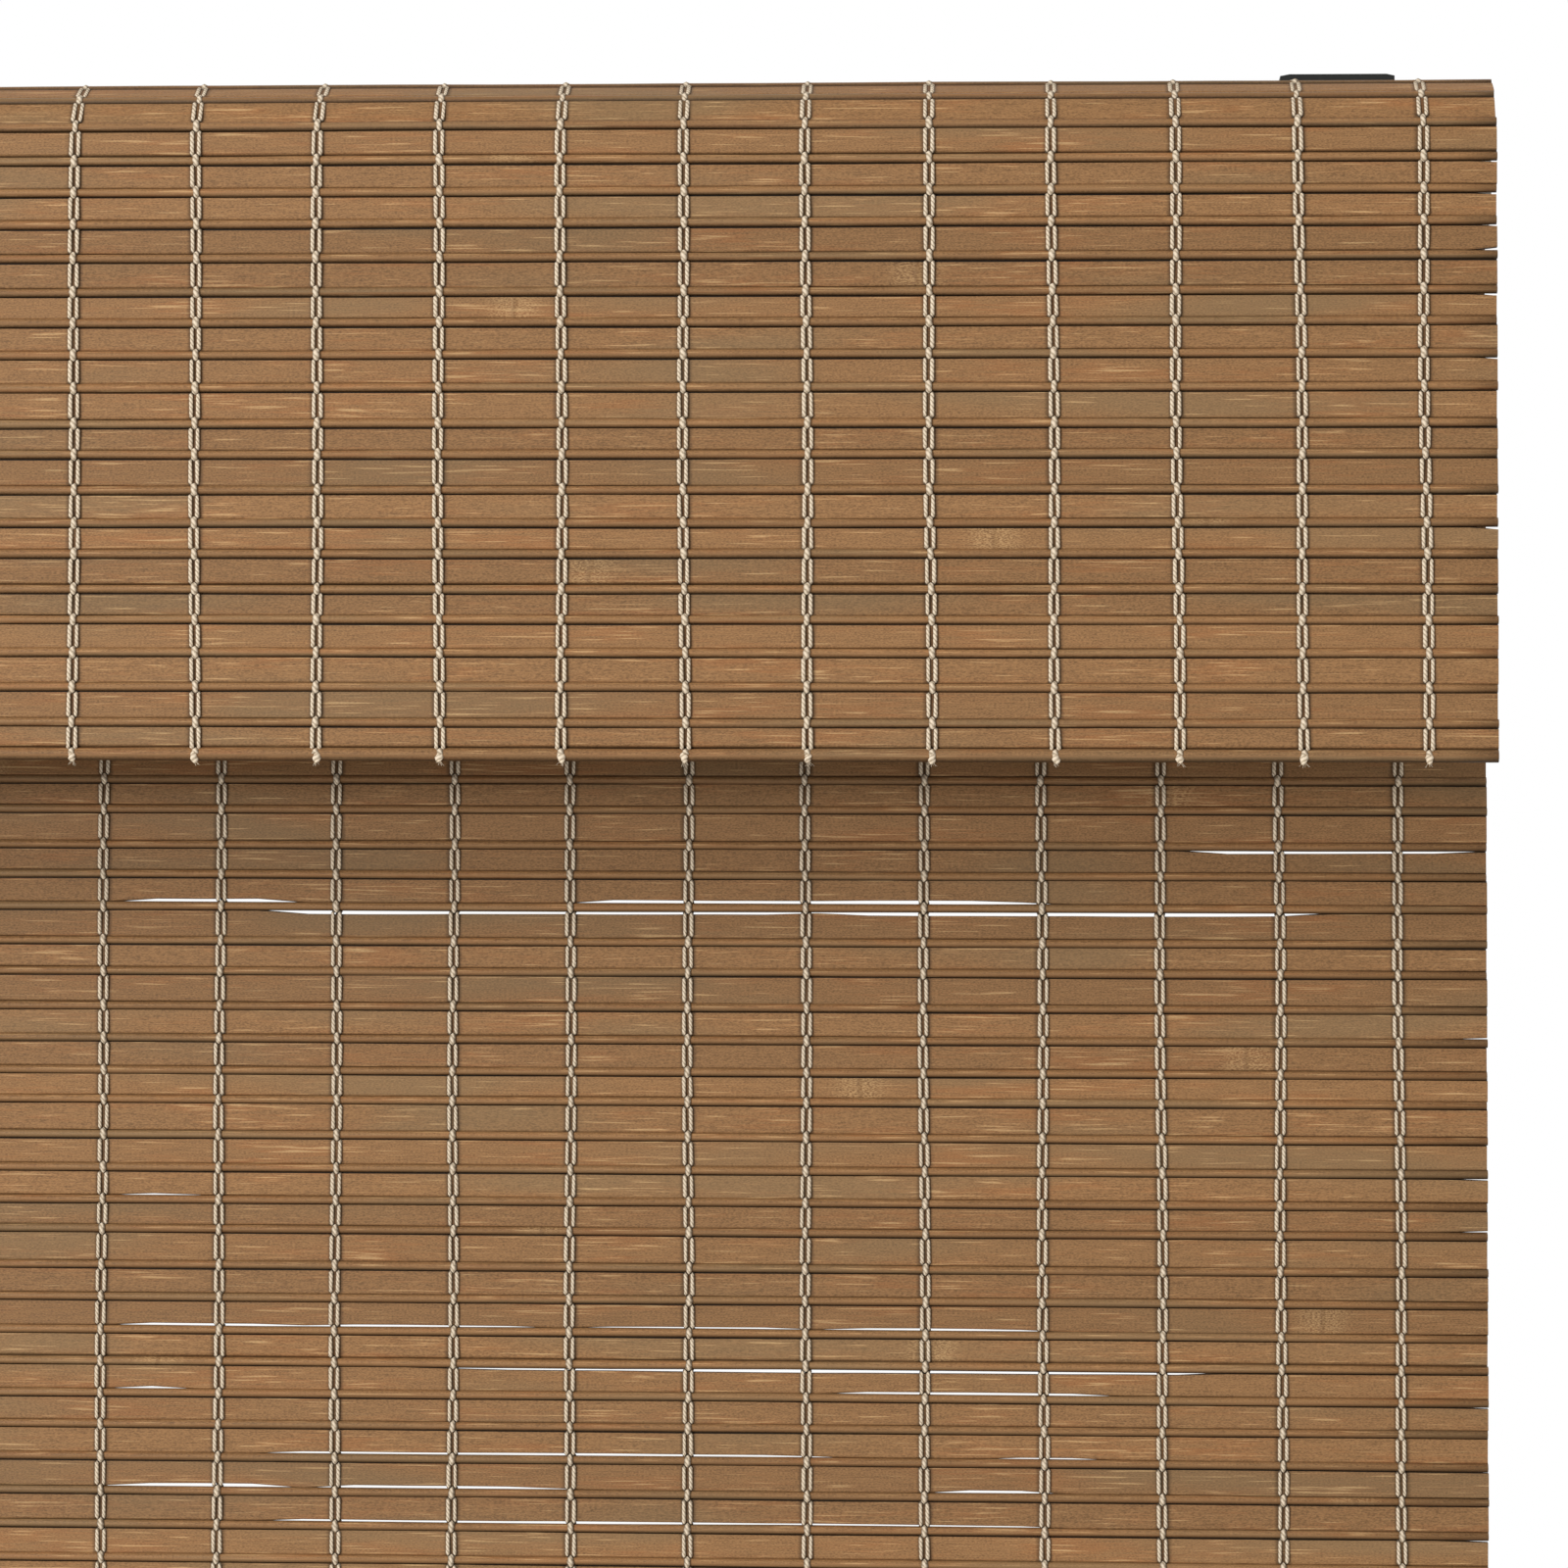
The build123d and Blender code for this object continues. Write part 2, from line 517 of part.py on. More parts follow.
with BuildPart() as cord_spools:
    for spool_x in (-SPOOL_X, SPOOL_X):
        with BuildSketch(Plane.YZ.offset(spool_x - SPOOL_HALF_LENGTH)):
            with Locations((SHAFT_Y, SHAFT_Z)):
                Circle(JOURNAL_R)
        extrude(amount=2 * SPOOL_HALF_LENGTH)
        with BuildSketch(Plane.YZ.offset(spool_x - SPOOL_FLANGE_X)):
            with Locations((SHAFT_Y, SHAFT_Z)):
                RegularPolygon(SPOOL_CORE_R, DRUM_SIDES)
        extrude(amount=2 * SPOOL_FLANGE_X)
        for flange_x in (spool_x - SPOOL_FLANGE_X - SPOOL_FLANGE_T, spool_x + SPOOL_FLANGE_X):
            with BuildSketch(Plane.YZ.offset(flange_x)):
                with Locations((SHAFT_Y, SHAFT_Z)):
                    RegularPolygon(SPOOL_FLANGE_R, DRUM_SIDES)
            extrude(amount=SPOOL_FLANGE_T)
    with BuildSketch(Plane.YZ.offset(-SHAFT_LENGTH / 2)):
        with Locations((SHAFT_Y, SHAFT_Z)):
            Rectangle(SHAFT_SIDE, SHAFT_SIDE)
    extrude(amount=SHAFT_LENGTH, mode=Mode.SUBTRACT)
cord_spools.part.label = "cord_spools"

drums = []
drum_half = HOUSING_X - HOUSING_T - BODY_GAP
for name, y, journal_r, core_r in (("output_drum", SHAFT_Y, JOURNAL_R, OUTPUT_CORE_R),
                                   ("storage_drum", STORE_Y, STORE_JOURNAL_R, STORE_CORE_R)):
    with BuildPart() as drum:
        with BuildSketch(Plane.YZ.offset(-HOUSING_X)):
            with Locations((y, SHAFT_Z)):
                Circle(journal_r)
        extrude(amount=2 * HOUSING_X)
        with BuildSketch(Plane.YZ.offset(-drum_half)):
            with Locations((y, SHAFT_Z)):
                RegularPolygon(core_r, DRUM_SIDES)
        extrude(amount=2 * drum_half)
        if name == "output_drum":
            with BuildSketch(Plane.YZ.offset(-HOUSING_X)):
                with Locations((y, SHAFT_Z)):
                    Rectangle(SHAFT_SIDE, SHAFT_SIDE)
            extrude(amount=2 * HOUSING_X, mode=Mode.SUBTRACT)
    drum.part.label = name
    drums.append(drum.part)

# Bottom rail: a wooden batten behind the panel's foot, with the tape that the mat is stuck to
foot_y = PANEL_Y + REED_T / 2 + BODY_GAP
with BuildPart() as foot_tape:
    with Locations((0, foot_y + FOOT_TAPE_T / 2, FOOT_RAIL_Z)):
        Box(FOOT_RAIL_LENGTH - 2 * TAPE_INSET, FOOT_TAPE_T, FOOT_RAIL_H - 2 * TAPE_INSET)
foot_tape.part.label = "foot_tape"

with BuildPart() as bottom_rail:
    with Locations((0, foot_y + FOOT_TAPE_T + FOOT_RAIL_T / 2, FOOT_RAIL_Z)):
        Box(FOOT_RAIL_LENGTH, FOOT_RAIL_T, FOOT_RAIL_H)
    fillet(bottom_rail.edges().filter_by(Axis.X), FOOT_RAIL_ROUND)
bottom_rail.part.label = "bottom_rail"

# Fold rings: at each fold line, one ring on a small foot at each lift cord's place
ring_rows = []
for row in range(1, FOLD_ROWS + 1):
    ring_z = FOOT_RAIL_Z + row * FOLD_SPACING
    with BuildPart() as fold_rings:
        for x in (-SPOOL_X, SPOOL_X):
            with Locations((x, foot_y + RING_FOOT_T / 2, ring_z)):
                Box(RING_FOOT, RING_FOOT_T, RING_FOOT)
            with BuildSketch(Plane.XY.offset(ring_z - RING_T / 2)):
                with Locations((x, foot_y + RING_FOOT_T + RING_R - RING_SINK)):
                    RegularPolygon(RING_R, RING_SIDES)
                    RegularPolygon(RING_BORE_R, RING_SIDES, mode=Mode.SUBTRACT)
            extrude(amount=RING_T)
    fold_rings.part.label = f"fold_rings_{row}"
    ring_rows.append(fold_rings.part)

os.makedirs("parts", exist_ok=True)
single_parts = [valance_mat.part, valance_twine.part, panel_mat.part, panel_twine.part, headrail.part,
                end_caps.part, mounting_brackets.part, valance_tape.part, rear_batten.part, spool_cradles.part,
                cord_outlets.part, motor_housing.part, motor_cover.part, spring_band.part, lift_shaft.part,
                cord_spools.part, foot_tape.part, bottom_rail.part]
for piece in single_parts + drums + ring_rows:
    export_step(piece, f"parts/{piece.label}.step")
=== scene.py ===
# %% [markdown]
# A bamboo roman blind, hung from its brackets, as the room sees it from a little below.
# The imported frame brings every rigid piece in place: headrail, brackets, spools, motor, rails and rings.
# What makes this blind look like itself is its two reed mats, so most of the cells below weave them.
# A mat is a stack of flat split-bamboo slats with a thin round reed between each two. Twine binds the stack
# in columns.

# %% Load the frame
import json
import math

import bpy
import numpy as np
from mathutils import Matrix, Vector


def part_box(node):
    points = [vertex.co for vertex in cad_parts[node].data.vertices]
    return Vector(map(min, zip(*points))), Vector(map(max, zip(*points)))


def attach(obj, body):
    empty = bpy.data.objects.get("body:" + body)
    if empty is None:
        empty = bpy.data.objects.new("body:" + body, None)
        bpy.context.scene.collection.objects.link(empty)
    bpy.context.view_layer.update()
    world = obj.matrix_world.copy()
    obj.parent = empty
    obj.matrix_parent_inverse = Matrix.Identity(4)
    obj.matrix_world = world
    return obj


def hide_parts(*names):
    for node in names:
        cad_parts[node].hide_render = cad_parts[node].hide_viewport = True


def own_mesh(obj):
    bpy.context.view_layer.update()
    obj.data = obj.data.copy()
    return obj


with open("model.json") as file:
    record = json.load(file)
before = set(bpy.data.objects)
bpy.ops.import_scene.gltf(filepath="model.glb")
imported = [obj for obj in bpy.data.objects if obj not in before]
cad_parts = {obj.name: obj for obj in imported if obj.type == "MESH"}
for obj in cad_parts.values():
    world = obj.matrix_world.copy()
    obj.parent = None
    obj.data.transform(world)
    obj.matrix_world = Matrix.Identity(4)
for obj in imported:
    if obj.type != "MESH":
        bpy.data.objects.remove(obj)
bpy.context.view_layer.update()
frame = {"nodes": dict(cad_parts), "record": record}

# %% [markdown]
# The mats' planes are read from the frame, and their rows follow the same rules as the solids do.
# The photograph's rows are uneven, because no two slats are split to the same width. A small step worked out
# from the row's number gives every slat its own width and keeps the rows from drifting.

# %% Sizes of the mats, in metres
MM = 0.001
SLAT_T = 1.2 * MM
REED_T = 2.2 * MM
REED_W = 2.1 * MM
HEM_REED_T = 2.9 * MM
HEM_REED_W = 3.0 * MM
ROW_JITTER = 0.42 * MM
VALANCE_PITCH = 7.48 * MM
PANEL_PITCH = 7.6 * MM
BEND_R = 15.9 * MM
VALANCE_FLAT = 10.0 * MM

valance_low, valance_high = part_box("valance_mat")
panel_low, panel_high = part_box("panel_mat")
VALANCE_Y = valance_low[1] + HEM_REED_T / 2
VALANCE_TOP_Z = valance_high[2] - REED_T / 2
VALANCE_FOOT_Z = valance_low[2]
PANEL_Y = (panel_low[1] + panel_high[1]) / 2
PANEL_TOP_Z = panel_high[2]
PANEL_FOOT_Z = panel_low[2]
BEND_Y = VALANCE_Y + BEND_R
BEND_Z = VALANCE_TOP_Z - BEND_R
BEND_FROM = BEND_Z - VALANCE_FOOT_Z
VALANCE_LENGTH = BEND_FROM + BEND_R * math.pi / 2 + VALANCE_FLAT
PANEL_LENGTH = PANEL_TOP_Z - PANEL_FOOT_Z
FIRST_PANEL_REED = 7.75 * MM
TWINE_PITCH = 27.6 * MM
TWINE_COLUMNS = 22
VALANCE_LAST_COLUMN = 289.55 * MM
PANEL_LAST_COLUMN = 287.3 * MM
print("valance", VALANCE_LENGTH, "panel", PANEL_LENGTH)

# %% [markdown]
# Where the slats shrink away from a reed, daylight shows through as a thin bright line. The largest of these
# openings are cut in the solids too, and are listed here by reed, side and place along the mat.

# %% Openings that let light through: reed, side (1 above, -1 below), from x, to x, in millimetres
VALANCE_SLITS = [
    (18, -1, 300.5, 306.0), (17, -1, 301.0, 306.0), (16, -1, 300.0, 306.0), (15, 1, 300.0, 306.0),
    (14, -1, 301.5, 306.0), (12, -1, 300.5, 306.0), (7, -1, 301.0, 306.0), (10, -1, -306.0, -300.5),
]
PANEL_SLITS = [
    (21, -1, 241.0, 304.0), (23, 1, -12.0, 23.0), (23, -1, 24.0, 151.0), (23, -1, 153.0, 262.0),
    (23, 1, 99.0, 200.0), (27, 1, 298.0, 308.0), (31, -1, 298.0, 308.0), (32, 1, -12.0, 6.0),
    (33, 1, 299.0, 308.0), (36, 1, -11.0, 31.0), (36, 1, 34.0, 86.0), (36, 1, 94.0, 150.0),
    (36, 1, 160.0, 201.0), (37, -1, 67.0, 168.0), (37, -1, 171.0, 241.0), (38, 1, -12.0, 0.0),
    (38, 1, 161.0, 218.0), (38, -1, 299.0, 308.0), (40, 1, 28.0, 152.0), (40, 1, 196.0, 216.0),
    (40, -1, 298.5, 308.0), (41, 1, -13.0, 26.0), (41, 1, 40.0, 91.0), (41, 1, 182.0, 207.0),
    (42, 1, 24.0, 208.0), (42, -1, 299.5, 308.0),
]
SCATTERED_SLITS = 30
SCATTER_FROM_REED = 46
SCATTER_CLEAR_OF_FOOT = 8
SCATTER_REACH = 270.0
SCATTER_HALF_LENGTH = 14.0
SCATTER_HALF_CHANGE = 13.0
SIDE_SLIT_MIDDLES = (305.7, -302.3)
SIDE_SLIT_HALF_LENGTH = 4.0


def row_jitter(i):
    """Sine of a growing angle: a step between -1 and 1 that looks like chance but is the same each time."""
    return np.sin(2.4 * i * i + 1.7 * i)


def scattered_slits(reed_count):
    """Short openings over the rest of the panel, at rows and places that a formula spreads out.

    Every third one is below its reed, and every fifth one is at a side of the panel.
    """
    slits = []
    reeds = reed_count - SCATTER_FROM_REED - SCATTER_CLEAR_OF_FOOT
    for i in range(SCATTERED_SLITS):
        reed = SCATTER_FROM_REED + int(i * reeds / SCATTERED_SLITS)
        side = 1 if i % 3 else -1
        middle = SCATTER_REACH * math.sin(2.399 * i * i + i)
        half = SCATTER_HALF_LENGTH + SCATTER_HALF_CHANGE * math.sin(1.3 * i)
        if i % 5 == 4:
            middle, half = SIDE_SLIT_MIDDLES[i % 2], SIDE_SLIT_HALF_LENGTH
        slits.append((reed, side, middle - half, middle + half))
    return slits


# %% [markdown]
# Everything in a mat is placed by its reeds, so their middles come first. The valance's are counted up from
# its foot. The panel's are counted down from its top, because the photograph shows that end.

# %% Middle of every reed along each mat
PANEL_JITTER_SHIFT = 40
valance_count = int((VALANCE_LENGTH - HEM_REED_W) / VALANCE_PITCH)
steps = np.arange(1, valance_count + 1)
valance_reeds = HEM_REED_W / 2 + VALANCE_PITCH * steps + ROW_JITTER * row_jitter(steps)
valance_reeds = np.concatenate([[HEM_REED_W / 2], valance_reeds])
panel_count = int((PANEL_LENGTH - FIRST_PANEL_REED - HEM_REED_W / 2) / PANEL_PITCH - 0.5)
steps = np.arange(panel_count + 1)
uneven = ROW_JITTER * row_jitter(steps + PANEL_JITTER_SHIFT)
panel_reeds = PANEL_LENGTH - FIRST_PANEL_REED - PANEL_PITCH * steps + uneven
panel_reeds = np.concatenate([panel_reeds, [HEM_REED_W / 2]])
print("reeds", len(valance_reeds), "in the valance,", len(panel_reeds), "in the panel")

# %% [markdown]
# Both mats are drawn in flat coordinates first: x along the slats, s up from the mat's foot, and out from the
# mat's middle surface towards the room. Two mapping functions then hang them: the panel straight, the valance
# straight and then bent back over the headrail in a quarter circle.


# %% From flat mat coordinates to the hung blind
VALANCE_LEAN = 0.0085
DRIFT_BELOW_TOP = 0.15
DRIFT_LENGTH = 0.2
DRIFT_START = 0.4


def hang_panel(x, s, out):
    """Straight down: height is the foot plus s, and out moves towards the room."""
    return np.stack(np.broadcast_arrays(x, PANEL_Y - out, PANEL_FOOT_Z + s), axis=-1)


def hang_valance(x, s, out):
    """Straight up to the bend, then round a quarter circle of BEND_R, then flat towards the back."""
    turn = np.clip((s - BEND_FROM) / BEND_R, 0.0, math.pi / 2)
    rise = np.minimum(s, BEND_FROM)
    run = np.maximum(s - BEND_FROM - BEND_R * math.pi / 2, 0.0)
    y = BEND_Y - (BEND_R + out) * np.cos(turn) + run
    z = VALANCE_FOOT_Z + rise + (BEND_R + out) * np.sin(turn)
    return np.stack(np.broadcast_arrays(x, y, z), axis=-1)


def leans_left(s):
    """The valance's columns lean 0.85 mm to the left for every 100 mm up from its foot."""
    return -VALANCE_LEAN * np.minimum(s, BEND_FROM)


def hangs_askew(s):
    """The panel's columns drift 1 mm to the right, from 150 mm to 350 mm below its top."""
    below = np.clip((PANEL_LENGTH - s - DRIFT_BELOW_TOP) / DRIFT_LENGTH, 0.0, 1.0)
    return (below - DRIFT_START) * MM


def wander(x, seed, waves=(3.1, 7.7, 17.0), sizes=(0.55, 0.3, 0.15)):
    """Three sines of different lengths, with phases from the seed, add up to an uneven line from -1 to 1."""
    total = np.zeros(np.broadcast(x, seed).shape)
    for wave, size in zip(waves, sizes):
        total = total + size * np.sin(wave * x * 2 * math.pi + 12.9898 * wave * seed + 5.1 * seed * seed)
    return total


# %% [markdown]
# Every slat, reed and strand is the same kind of surface: a closed outline carried along a path. One function
# turns a stack of such tubes, given as an array of tube, station, corner and coordinate, into one mesh with
# closed ends, and stores what the finishes need on its points. A curve with a bevel could carry an outline,
# but that outline can't change from one station to the next, as a slat's does at an opening.


# %% Mesh from a stack of tubes
def add_object(name, data):
    """An object for a mesh, a lamp or a camera, linked to the scene."""
    piece = bpy.data.objects.new(name, data)
    bpy.context.scene.collection.objects.link(piece)
    return piece


def tube_mesh(name, points, attributes, smooth=True):
    """Side quads join corner j of station i to its neighbours; each end is one polygon of all its corners.

    The volume that the first tube's quads enclose, seen from its middle, tells whether all have to be turned.
    """
    tubes, stations, corners, _ = points.shape
    index = np.arange(tubes * stations * corners).reshape(tubes, stations, corners)
    here, ahead = index[:, :-1, :], index[:, 1:, :]
    quads = np.stack([here, np.roll(here, -1, axis=2), np.roll(ahead, -1, axis=2), ahead], axis=-1)
    quads = quads.reshape(-1, 4)
    caps = np.concatenate([index[:, 0, ::-1], index[:, -1, :]])
    first = points[0]
    centre = first.mean(axis=(0, 1))
    a, b, c = (first.reshape(-1, 3)[quads[:(stations - 1) * corners, k]] - centre for k in range(3))
    if np.einsum("ij,ij->i", a, np.cross(b, c)).sum() < 0:
        quads, caps = quads[:, ::-1], caps[:, ::-1]
    mesh = bpy.data.meshes.new(name)
    mesh.vertices.add(index.size)
    mesh.vertices.foreach_set("co", points.reshape(-1).astype(np.float32))
    loops = np.concatenate([quads.reshape(-1), caps.reshape(-1)]).astype(np.int32)
    totals = np.concatenate([np.full(len(quads), 4), np.full(len(caps), corners)]).astype(np.int32)
    starts = np.concatenate([[0], np.cumsum(totals)[:-1]]).astype(np.int32)
    mesh.loops.add(len(loops))
    mesh.loops.foreach_set("vertex_index", loops)
    mesh.polygons.add(len(totals))
    mesh.polygons.foreach_set("loop_start", starts)
    mesh.polygons.foreach_set("loop_total", totals)
    smoothing = np.concatenate([np.full(len(quads), smooth), np.zeros(len(caps), bool)])
    mesh.polygons.foreach_set("use_smooth", smoothing)
    for label, values in attributes.items():
        values = np.asarray(values, np.float32)
        if values.shape[-1:] == (3,) and values.ndim == 4:
            layer = mesh.attributes.new(label, "FLOAT_VECTOR", "POINT")
            layer.data.foreach_set("vector", values.reshape(-1))
        else:
            layer = mesh.attributes.new(label, "FLOAT", "POINT")
            layer.data.foreach_set("value", np.broadcast_to(values, index.shape).reshape(-1))
    mesh.update(calc_edges=True)
    mesh.validate()
    triangles = 2 * len(quads) + (corners - 2) * len(caps)
    print(name, tubes, "tubes,", triangles, "triangles")
    return add_object(name, mesh)


# %% [markdown]
# A slat is a thin plank whose sawn edges are thinner than its middle. The bottom edge is rounded over, and the
# top edge is rebated, so that a groove runs below every reed, and painted shade darkens it further. A thin
# tongue tucks under the reed on each side. At an opening the tongue draws back from the reed, and real light
# comes through. Each slat also leans and bows a little of its own, which keeps the faces from catching the
# light as one sheet. A flat sheet with a striped colour would be quicker, but it would have no gaps and no
# shadows. The lowest rows are stuck to the bottom rail and rise with it, so they are a piece of their own in
# the slats, the reeds and the twine.

# %% Slats
TONGUE_TUCK = 0.8 * MM
FACE_ABOVE_REED = 1.02 * MM
FACE_BELOW_REED = 1.12 * MM
GROOVE_WIDTHS = (0.04 * MM, 0.38 * MM)
LOW_GROOVE = 0.4 * MM
LOW_GROOVE_ROWS = (0, 5, 18, 31, 47, 66, 83, 104, 121, 140)
EDGE_FADE = 1.1 * MM
EDGE_ROUND = 0.3 * MM
GROOVE_DEPTH = 0.85 * MM
SLIT_DRAW_BACK = 1.05 * MM
SLIT_TAPER = 7.0 * MM
WIDE_SLIT_REED = 23
EDGE_WANDER = 0.13 * MM
FACE_WANDER = 0.09 * MM
FACE_LEAN = 0.14 * MM
END_WANDER = 0.12 * MM
FACE_ROUND = 0.15 * MM
FADE_LEAN = 0.6
LEAST_TONGUE = 0.1 * MM
LOW_EDGE_SHADE = 0.3
HIGH_EDGE_SHADE = 0.14
BACK_SHADE = 0.2
OPENING_LESSENS_SHADE = 0.45
HIGH_TONGUE_CORNER, LOW_TONGUE_CORNER = 5, 8
BEND_PAINTED_LIGHT = 1.1
FOOT_ROWS = 2
NO_REED = -99


def slit_opening(x, reed, side, slits):
    """How far an edge draws back at x: an uneven lens between a slit's ends, widest beside WIDE_SLIT_REED."""
    opening = np.zeros_like(x)
    width = 1.0 if reed == WIDE_SLIT_REED else 0.74 + 0.1 * math.sin(3.1 * reed)
    for slit_reed, slit_side, x_from, x_to in slits:
        if slit_reed == reed and slit_side == side:
            taper = min(SLIT_TAPER, (x_to - x_from) * MM / 3.0)
            inside = np.minimum(x - x_from * MM, x_to * MM - x) / taper
            uneven = 0.84 + 0.16 * wander(x * 2.0, slit_reed + 0.3)
            opening = np.maximum(opening, np.clip(inside + 0.6, 0.0, 1.0) * uneven * width)
    return opening * SLIT_DRAW_BACK


def slat_tubes(reeds, x_left, x_right, slits, hang, stations, seed, above_last, edge_tone, widening, column_at,
               painted_light_from):
    """Nine-cornered outline at each station along each slat, up the face, into the groove and round the back.

    The groove widens by a share of widening, more so on high slats and on some by chance.
    A further attribute holds painted shade: none on the face, the most in the groove, some on the back and the
    rounded foot, and a fade near the top for the shadow of the reed above.
    The column attribute counts twine columns from the right, and is a whole number and a half under each.
    The tint attribute differs from slat to slat. The slats on the bend have more, as painted light.
    """
    order = np.argsort(reeds)
    lower = reeds[order]
    upper = np.append(lower[1:], above_last)
    rows, grains, tints = [], [], []
    for k in range(len(lower)):
        low_reed = order[k]
        high_reed = order[k + 1] if k + 1 < len(order) else NO_REED
        row_seed = seed + 0.731 * k
        chance = math.sin(37.7 * row_seed + 3.0 * row_seed * row_seed)
        left_end = x_left + END_WANDER * math.sin(91.7 * row_seed)
        right_end = x_right + END_WANDER * math.sin(57.3 * row_seed)
        x = np.linspace(left_end, right_end, stations)
        hem = (HEM_REED_W - REED_W) / 2 if k == 0 else 0.0
        uneven_low = hem + EDGE_WANDER * wander(x, row_seed)
        uneven_high = EDGE_WANDER * wander(x, row_seed + 0.37)
        open_low = slit_opening(x, low_reed, 1, slits)
        open_high = slit_opening(x, high_reed, -1, slits)
        ceiling = upper[k] + (FACE_BELOW_REED if high_reed == NO_REED else 0.0)
        height = min(lower[k] / VALANCE_LENGTH, 1.0)
        widened = widening * (0.75 * height + 0.25 * chance ** 2)
        groove = GROOVE_WIDTHS[0] + (GROOVE_WIDTHS[1] - GROOVE_WIDTHS[0]) * widened
        tongue_low = lower[k] + TONGUE_TUCK + hem + open_low
        tongue_high = ceiling - TONGUE_TUCK - open_high
        low_groove = LOW_GROOVE if k in LOW_GROOVE_ROWS else 0.0
        face_low = np.maximum(lower[k] + FACE_ABOVE_REED + low_groove + uneven_low, tongue_low + LEAST_TONGUE)
        face_high = np.minimum(ceiling - FACE_BELOW_REED - groove + uneven_high, tongue_high - LEAST_TONGUE)
        lean = FACE_LEAN * chance
        face = SLAT_T / 2 + FACE_WANDER * wander(x, row_seed + 0.11)
        groove_floor = face - GROOVE_DEPTH
        back = face - SLAT_T
        s = np.stack([face_low, face_low + EDGE_ROUND, face_high - EDGE_FADE, face_high, face_high,
                      tongue_high, tongue_high, tongue_low, tongue_low], axis=-1)
        out = np.stack([face - lean - FACE_ROUND, face - lean, face + FADE_LEAN * lean, face + lean,
                        groove_floor, groove_floor, back, back, groove_floor], axis=-1)
        # Painted shade at each corner: some on the rounded foot, fading in under the reed above, most in the
        # grooves, some on the back.
        corner_shades = [LOW_EDGE_SHADE, 0.0, 0.0, HIGH_EDGE_SHADE,
                 edge_tone, edge_tone, BACK_SHADE, BACK_SHADE, edge_tone]
        edge = np.tile(corner_shades, (stations, 1))
        # Where light comes through an opening, the tongue gets less painted shade.
        edge[:, HIGH_TONGUE_CORNER] -= OPENING_LESSENS_SHADE * np.clip(open_high / MM, 0.0, 1.0)
        edge[:, LOW_TONGUE_CORNER] -= OPENING_LESSENS_SHADE * np.clip(open_low / MM, 0.0, 1.0)
        rows.append(hang(x[:, None], s, out))
        place = np.broadcast_to(x[:, None], s.shape)
        grains.append(np.stack([place, s - lower[k], np.full(s.shape, row_seed)], axis=-1))
        column = (column_at(s) - place) / TWINE_PITCH + 0.5
        # Painted light: the slats on the bend are made paler where their faces turn up towards the lamps.
        tint = 0.5 + 0.5 * chance + (BEND_PAINTED_LIGHT if upper[k] > painted_light_from else 0.0)
        tints.append(np.stack([np.full(s.shape, tint), edge, column], axis=-1))
    tints = np.array(tints)
    return np.array(rows), {"grain": np.array(grains), "tint": tints[..., 0], "edge": tints[..., 1],
                            "column": tints[..., 2]}


def some_rows(points, facts, first, last):
    """The tubes from first up to last, with their attributes."""
    return points[first:last], {label: values[first:last] for label, values in facts.items()}


VALANCE_LEFT, VALANCE_RIGHT = valance_low[0] + END_WANDER, valance_high[0] - END_WANDER
PANEL_LEFT, PANEL_RIGHT = panel_low[0] + END_WANDER, panel_high[0] - END_WANDER
panel_openings = PANEL_SLITS + scattered_slits(len(panel_reeds))
points, facts = slat_tubes(valance_reeds, VALANCE_LEFT, VALANCE_RIGHT, VALANCE_SLITS, hang_valance,
                           stations=96, seed=3.3, above_last=VALANCE_LENGTH, edge_tone=1.0, widening=1.0,
                           column_at=lambda s: VALANCE_LAST_COLUMN + leans_left(s),
                           painted_light_from=BEND_FROM + 0.8 * BEND_R)
valance_slats = tube_mesh("valance_slats", points, facts, smooth=False)
points, facts = slat_tubes(panel_reeds, PANEL_LEFT, PANEL_RIGHT, panel_openings, hang_panel, stations=52,
                           seed=8.9, above_last=PANEL_LENGTH, edge_tone=0.8, widening=0.0,
                           column_at=lambda s: PANEL_LAST_COLUMN + hangs_askew(s),
                           painted_light_from=2.0 * PANEL_LENGTH)
panel_slats = tube_mesh("panel_slats", *some_rows(points, facts, FOOT_ROWS, None), smooth=False)
foot_slats = tube_mesh("foot_slats", *some_rows(points, facts, 0, FOOT_ROWS), smooth=False)

# %% [markdown]
# A reed is a round stick about 2 mm thick, never quite straight or even. The last one at each foot is
# thicker, because the mat's edge is bound round it.

# %% Reeds
REED_WANDER = 0.12 * MM
REED_UNEVEN = 0.07


def reed_tubes(reeds, hem, x_left, x_right, hang, stations, corners, seed):
    """Circle of corners at each station, its radius and middle both wandering a little along the reed."""
    count = len(reeds)
    rank = np.arange(count)[:, None, None]
    reed_seed = seed + 0.613 * rank
    share = np.linspace(0.0, 1.0, stations)[None, :, None]
    left = x_left + END_WANDER * np.sin(77.1 * reed_seed)
    right = x_right + END_WANDER * np.sin(43.9 * reed_seed)
    x = left + (right - left) * share
    angle = np.linspace(0.0, 2 * math.pi, corners, endpoint=False)[None, None, :]
    thick = np.where(np.arange(count) == hem, HEM_REED_T, REED_T)[:, None, None] / 2
    tall = np.where(np.arange(count) == hem, HEM_REED_W, REED_W)[:, None, None] / 2
    uneven = 1.0 + REED_UNEVEN * wander(x * 2.0, reed_seed)
    bend = REED_WANDER * wander(x, reed_seed + 0.5) * np.where(rank == hem, 0.5, 1.0)
    s = reeds[:, None, None] + bend + tall * uneven * np.sin(angle)
    out = thick * uneven * np.cos(angle)
    points = hang(x, s, out)
    grain = np.stack(np.broadcast_arrays(x, angle * thick, reed_seed), axis=-1)
    tint = np.broadcast_to(0.5 + 0.5 * np.sin(29.3 * reed_seed), points.shape[:3])
    # Painted shade on the lower half of each reed.
    edge = np.broadcast_to(np.clip(-0.08 - 0.8 * np.sin(angle), 0.0, 0.62), points.shape[:3])
    return points, {"grain": grain, "tint": tint, "edge": edge}


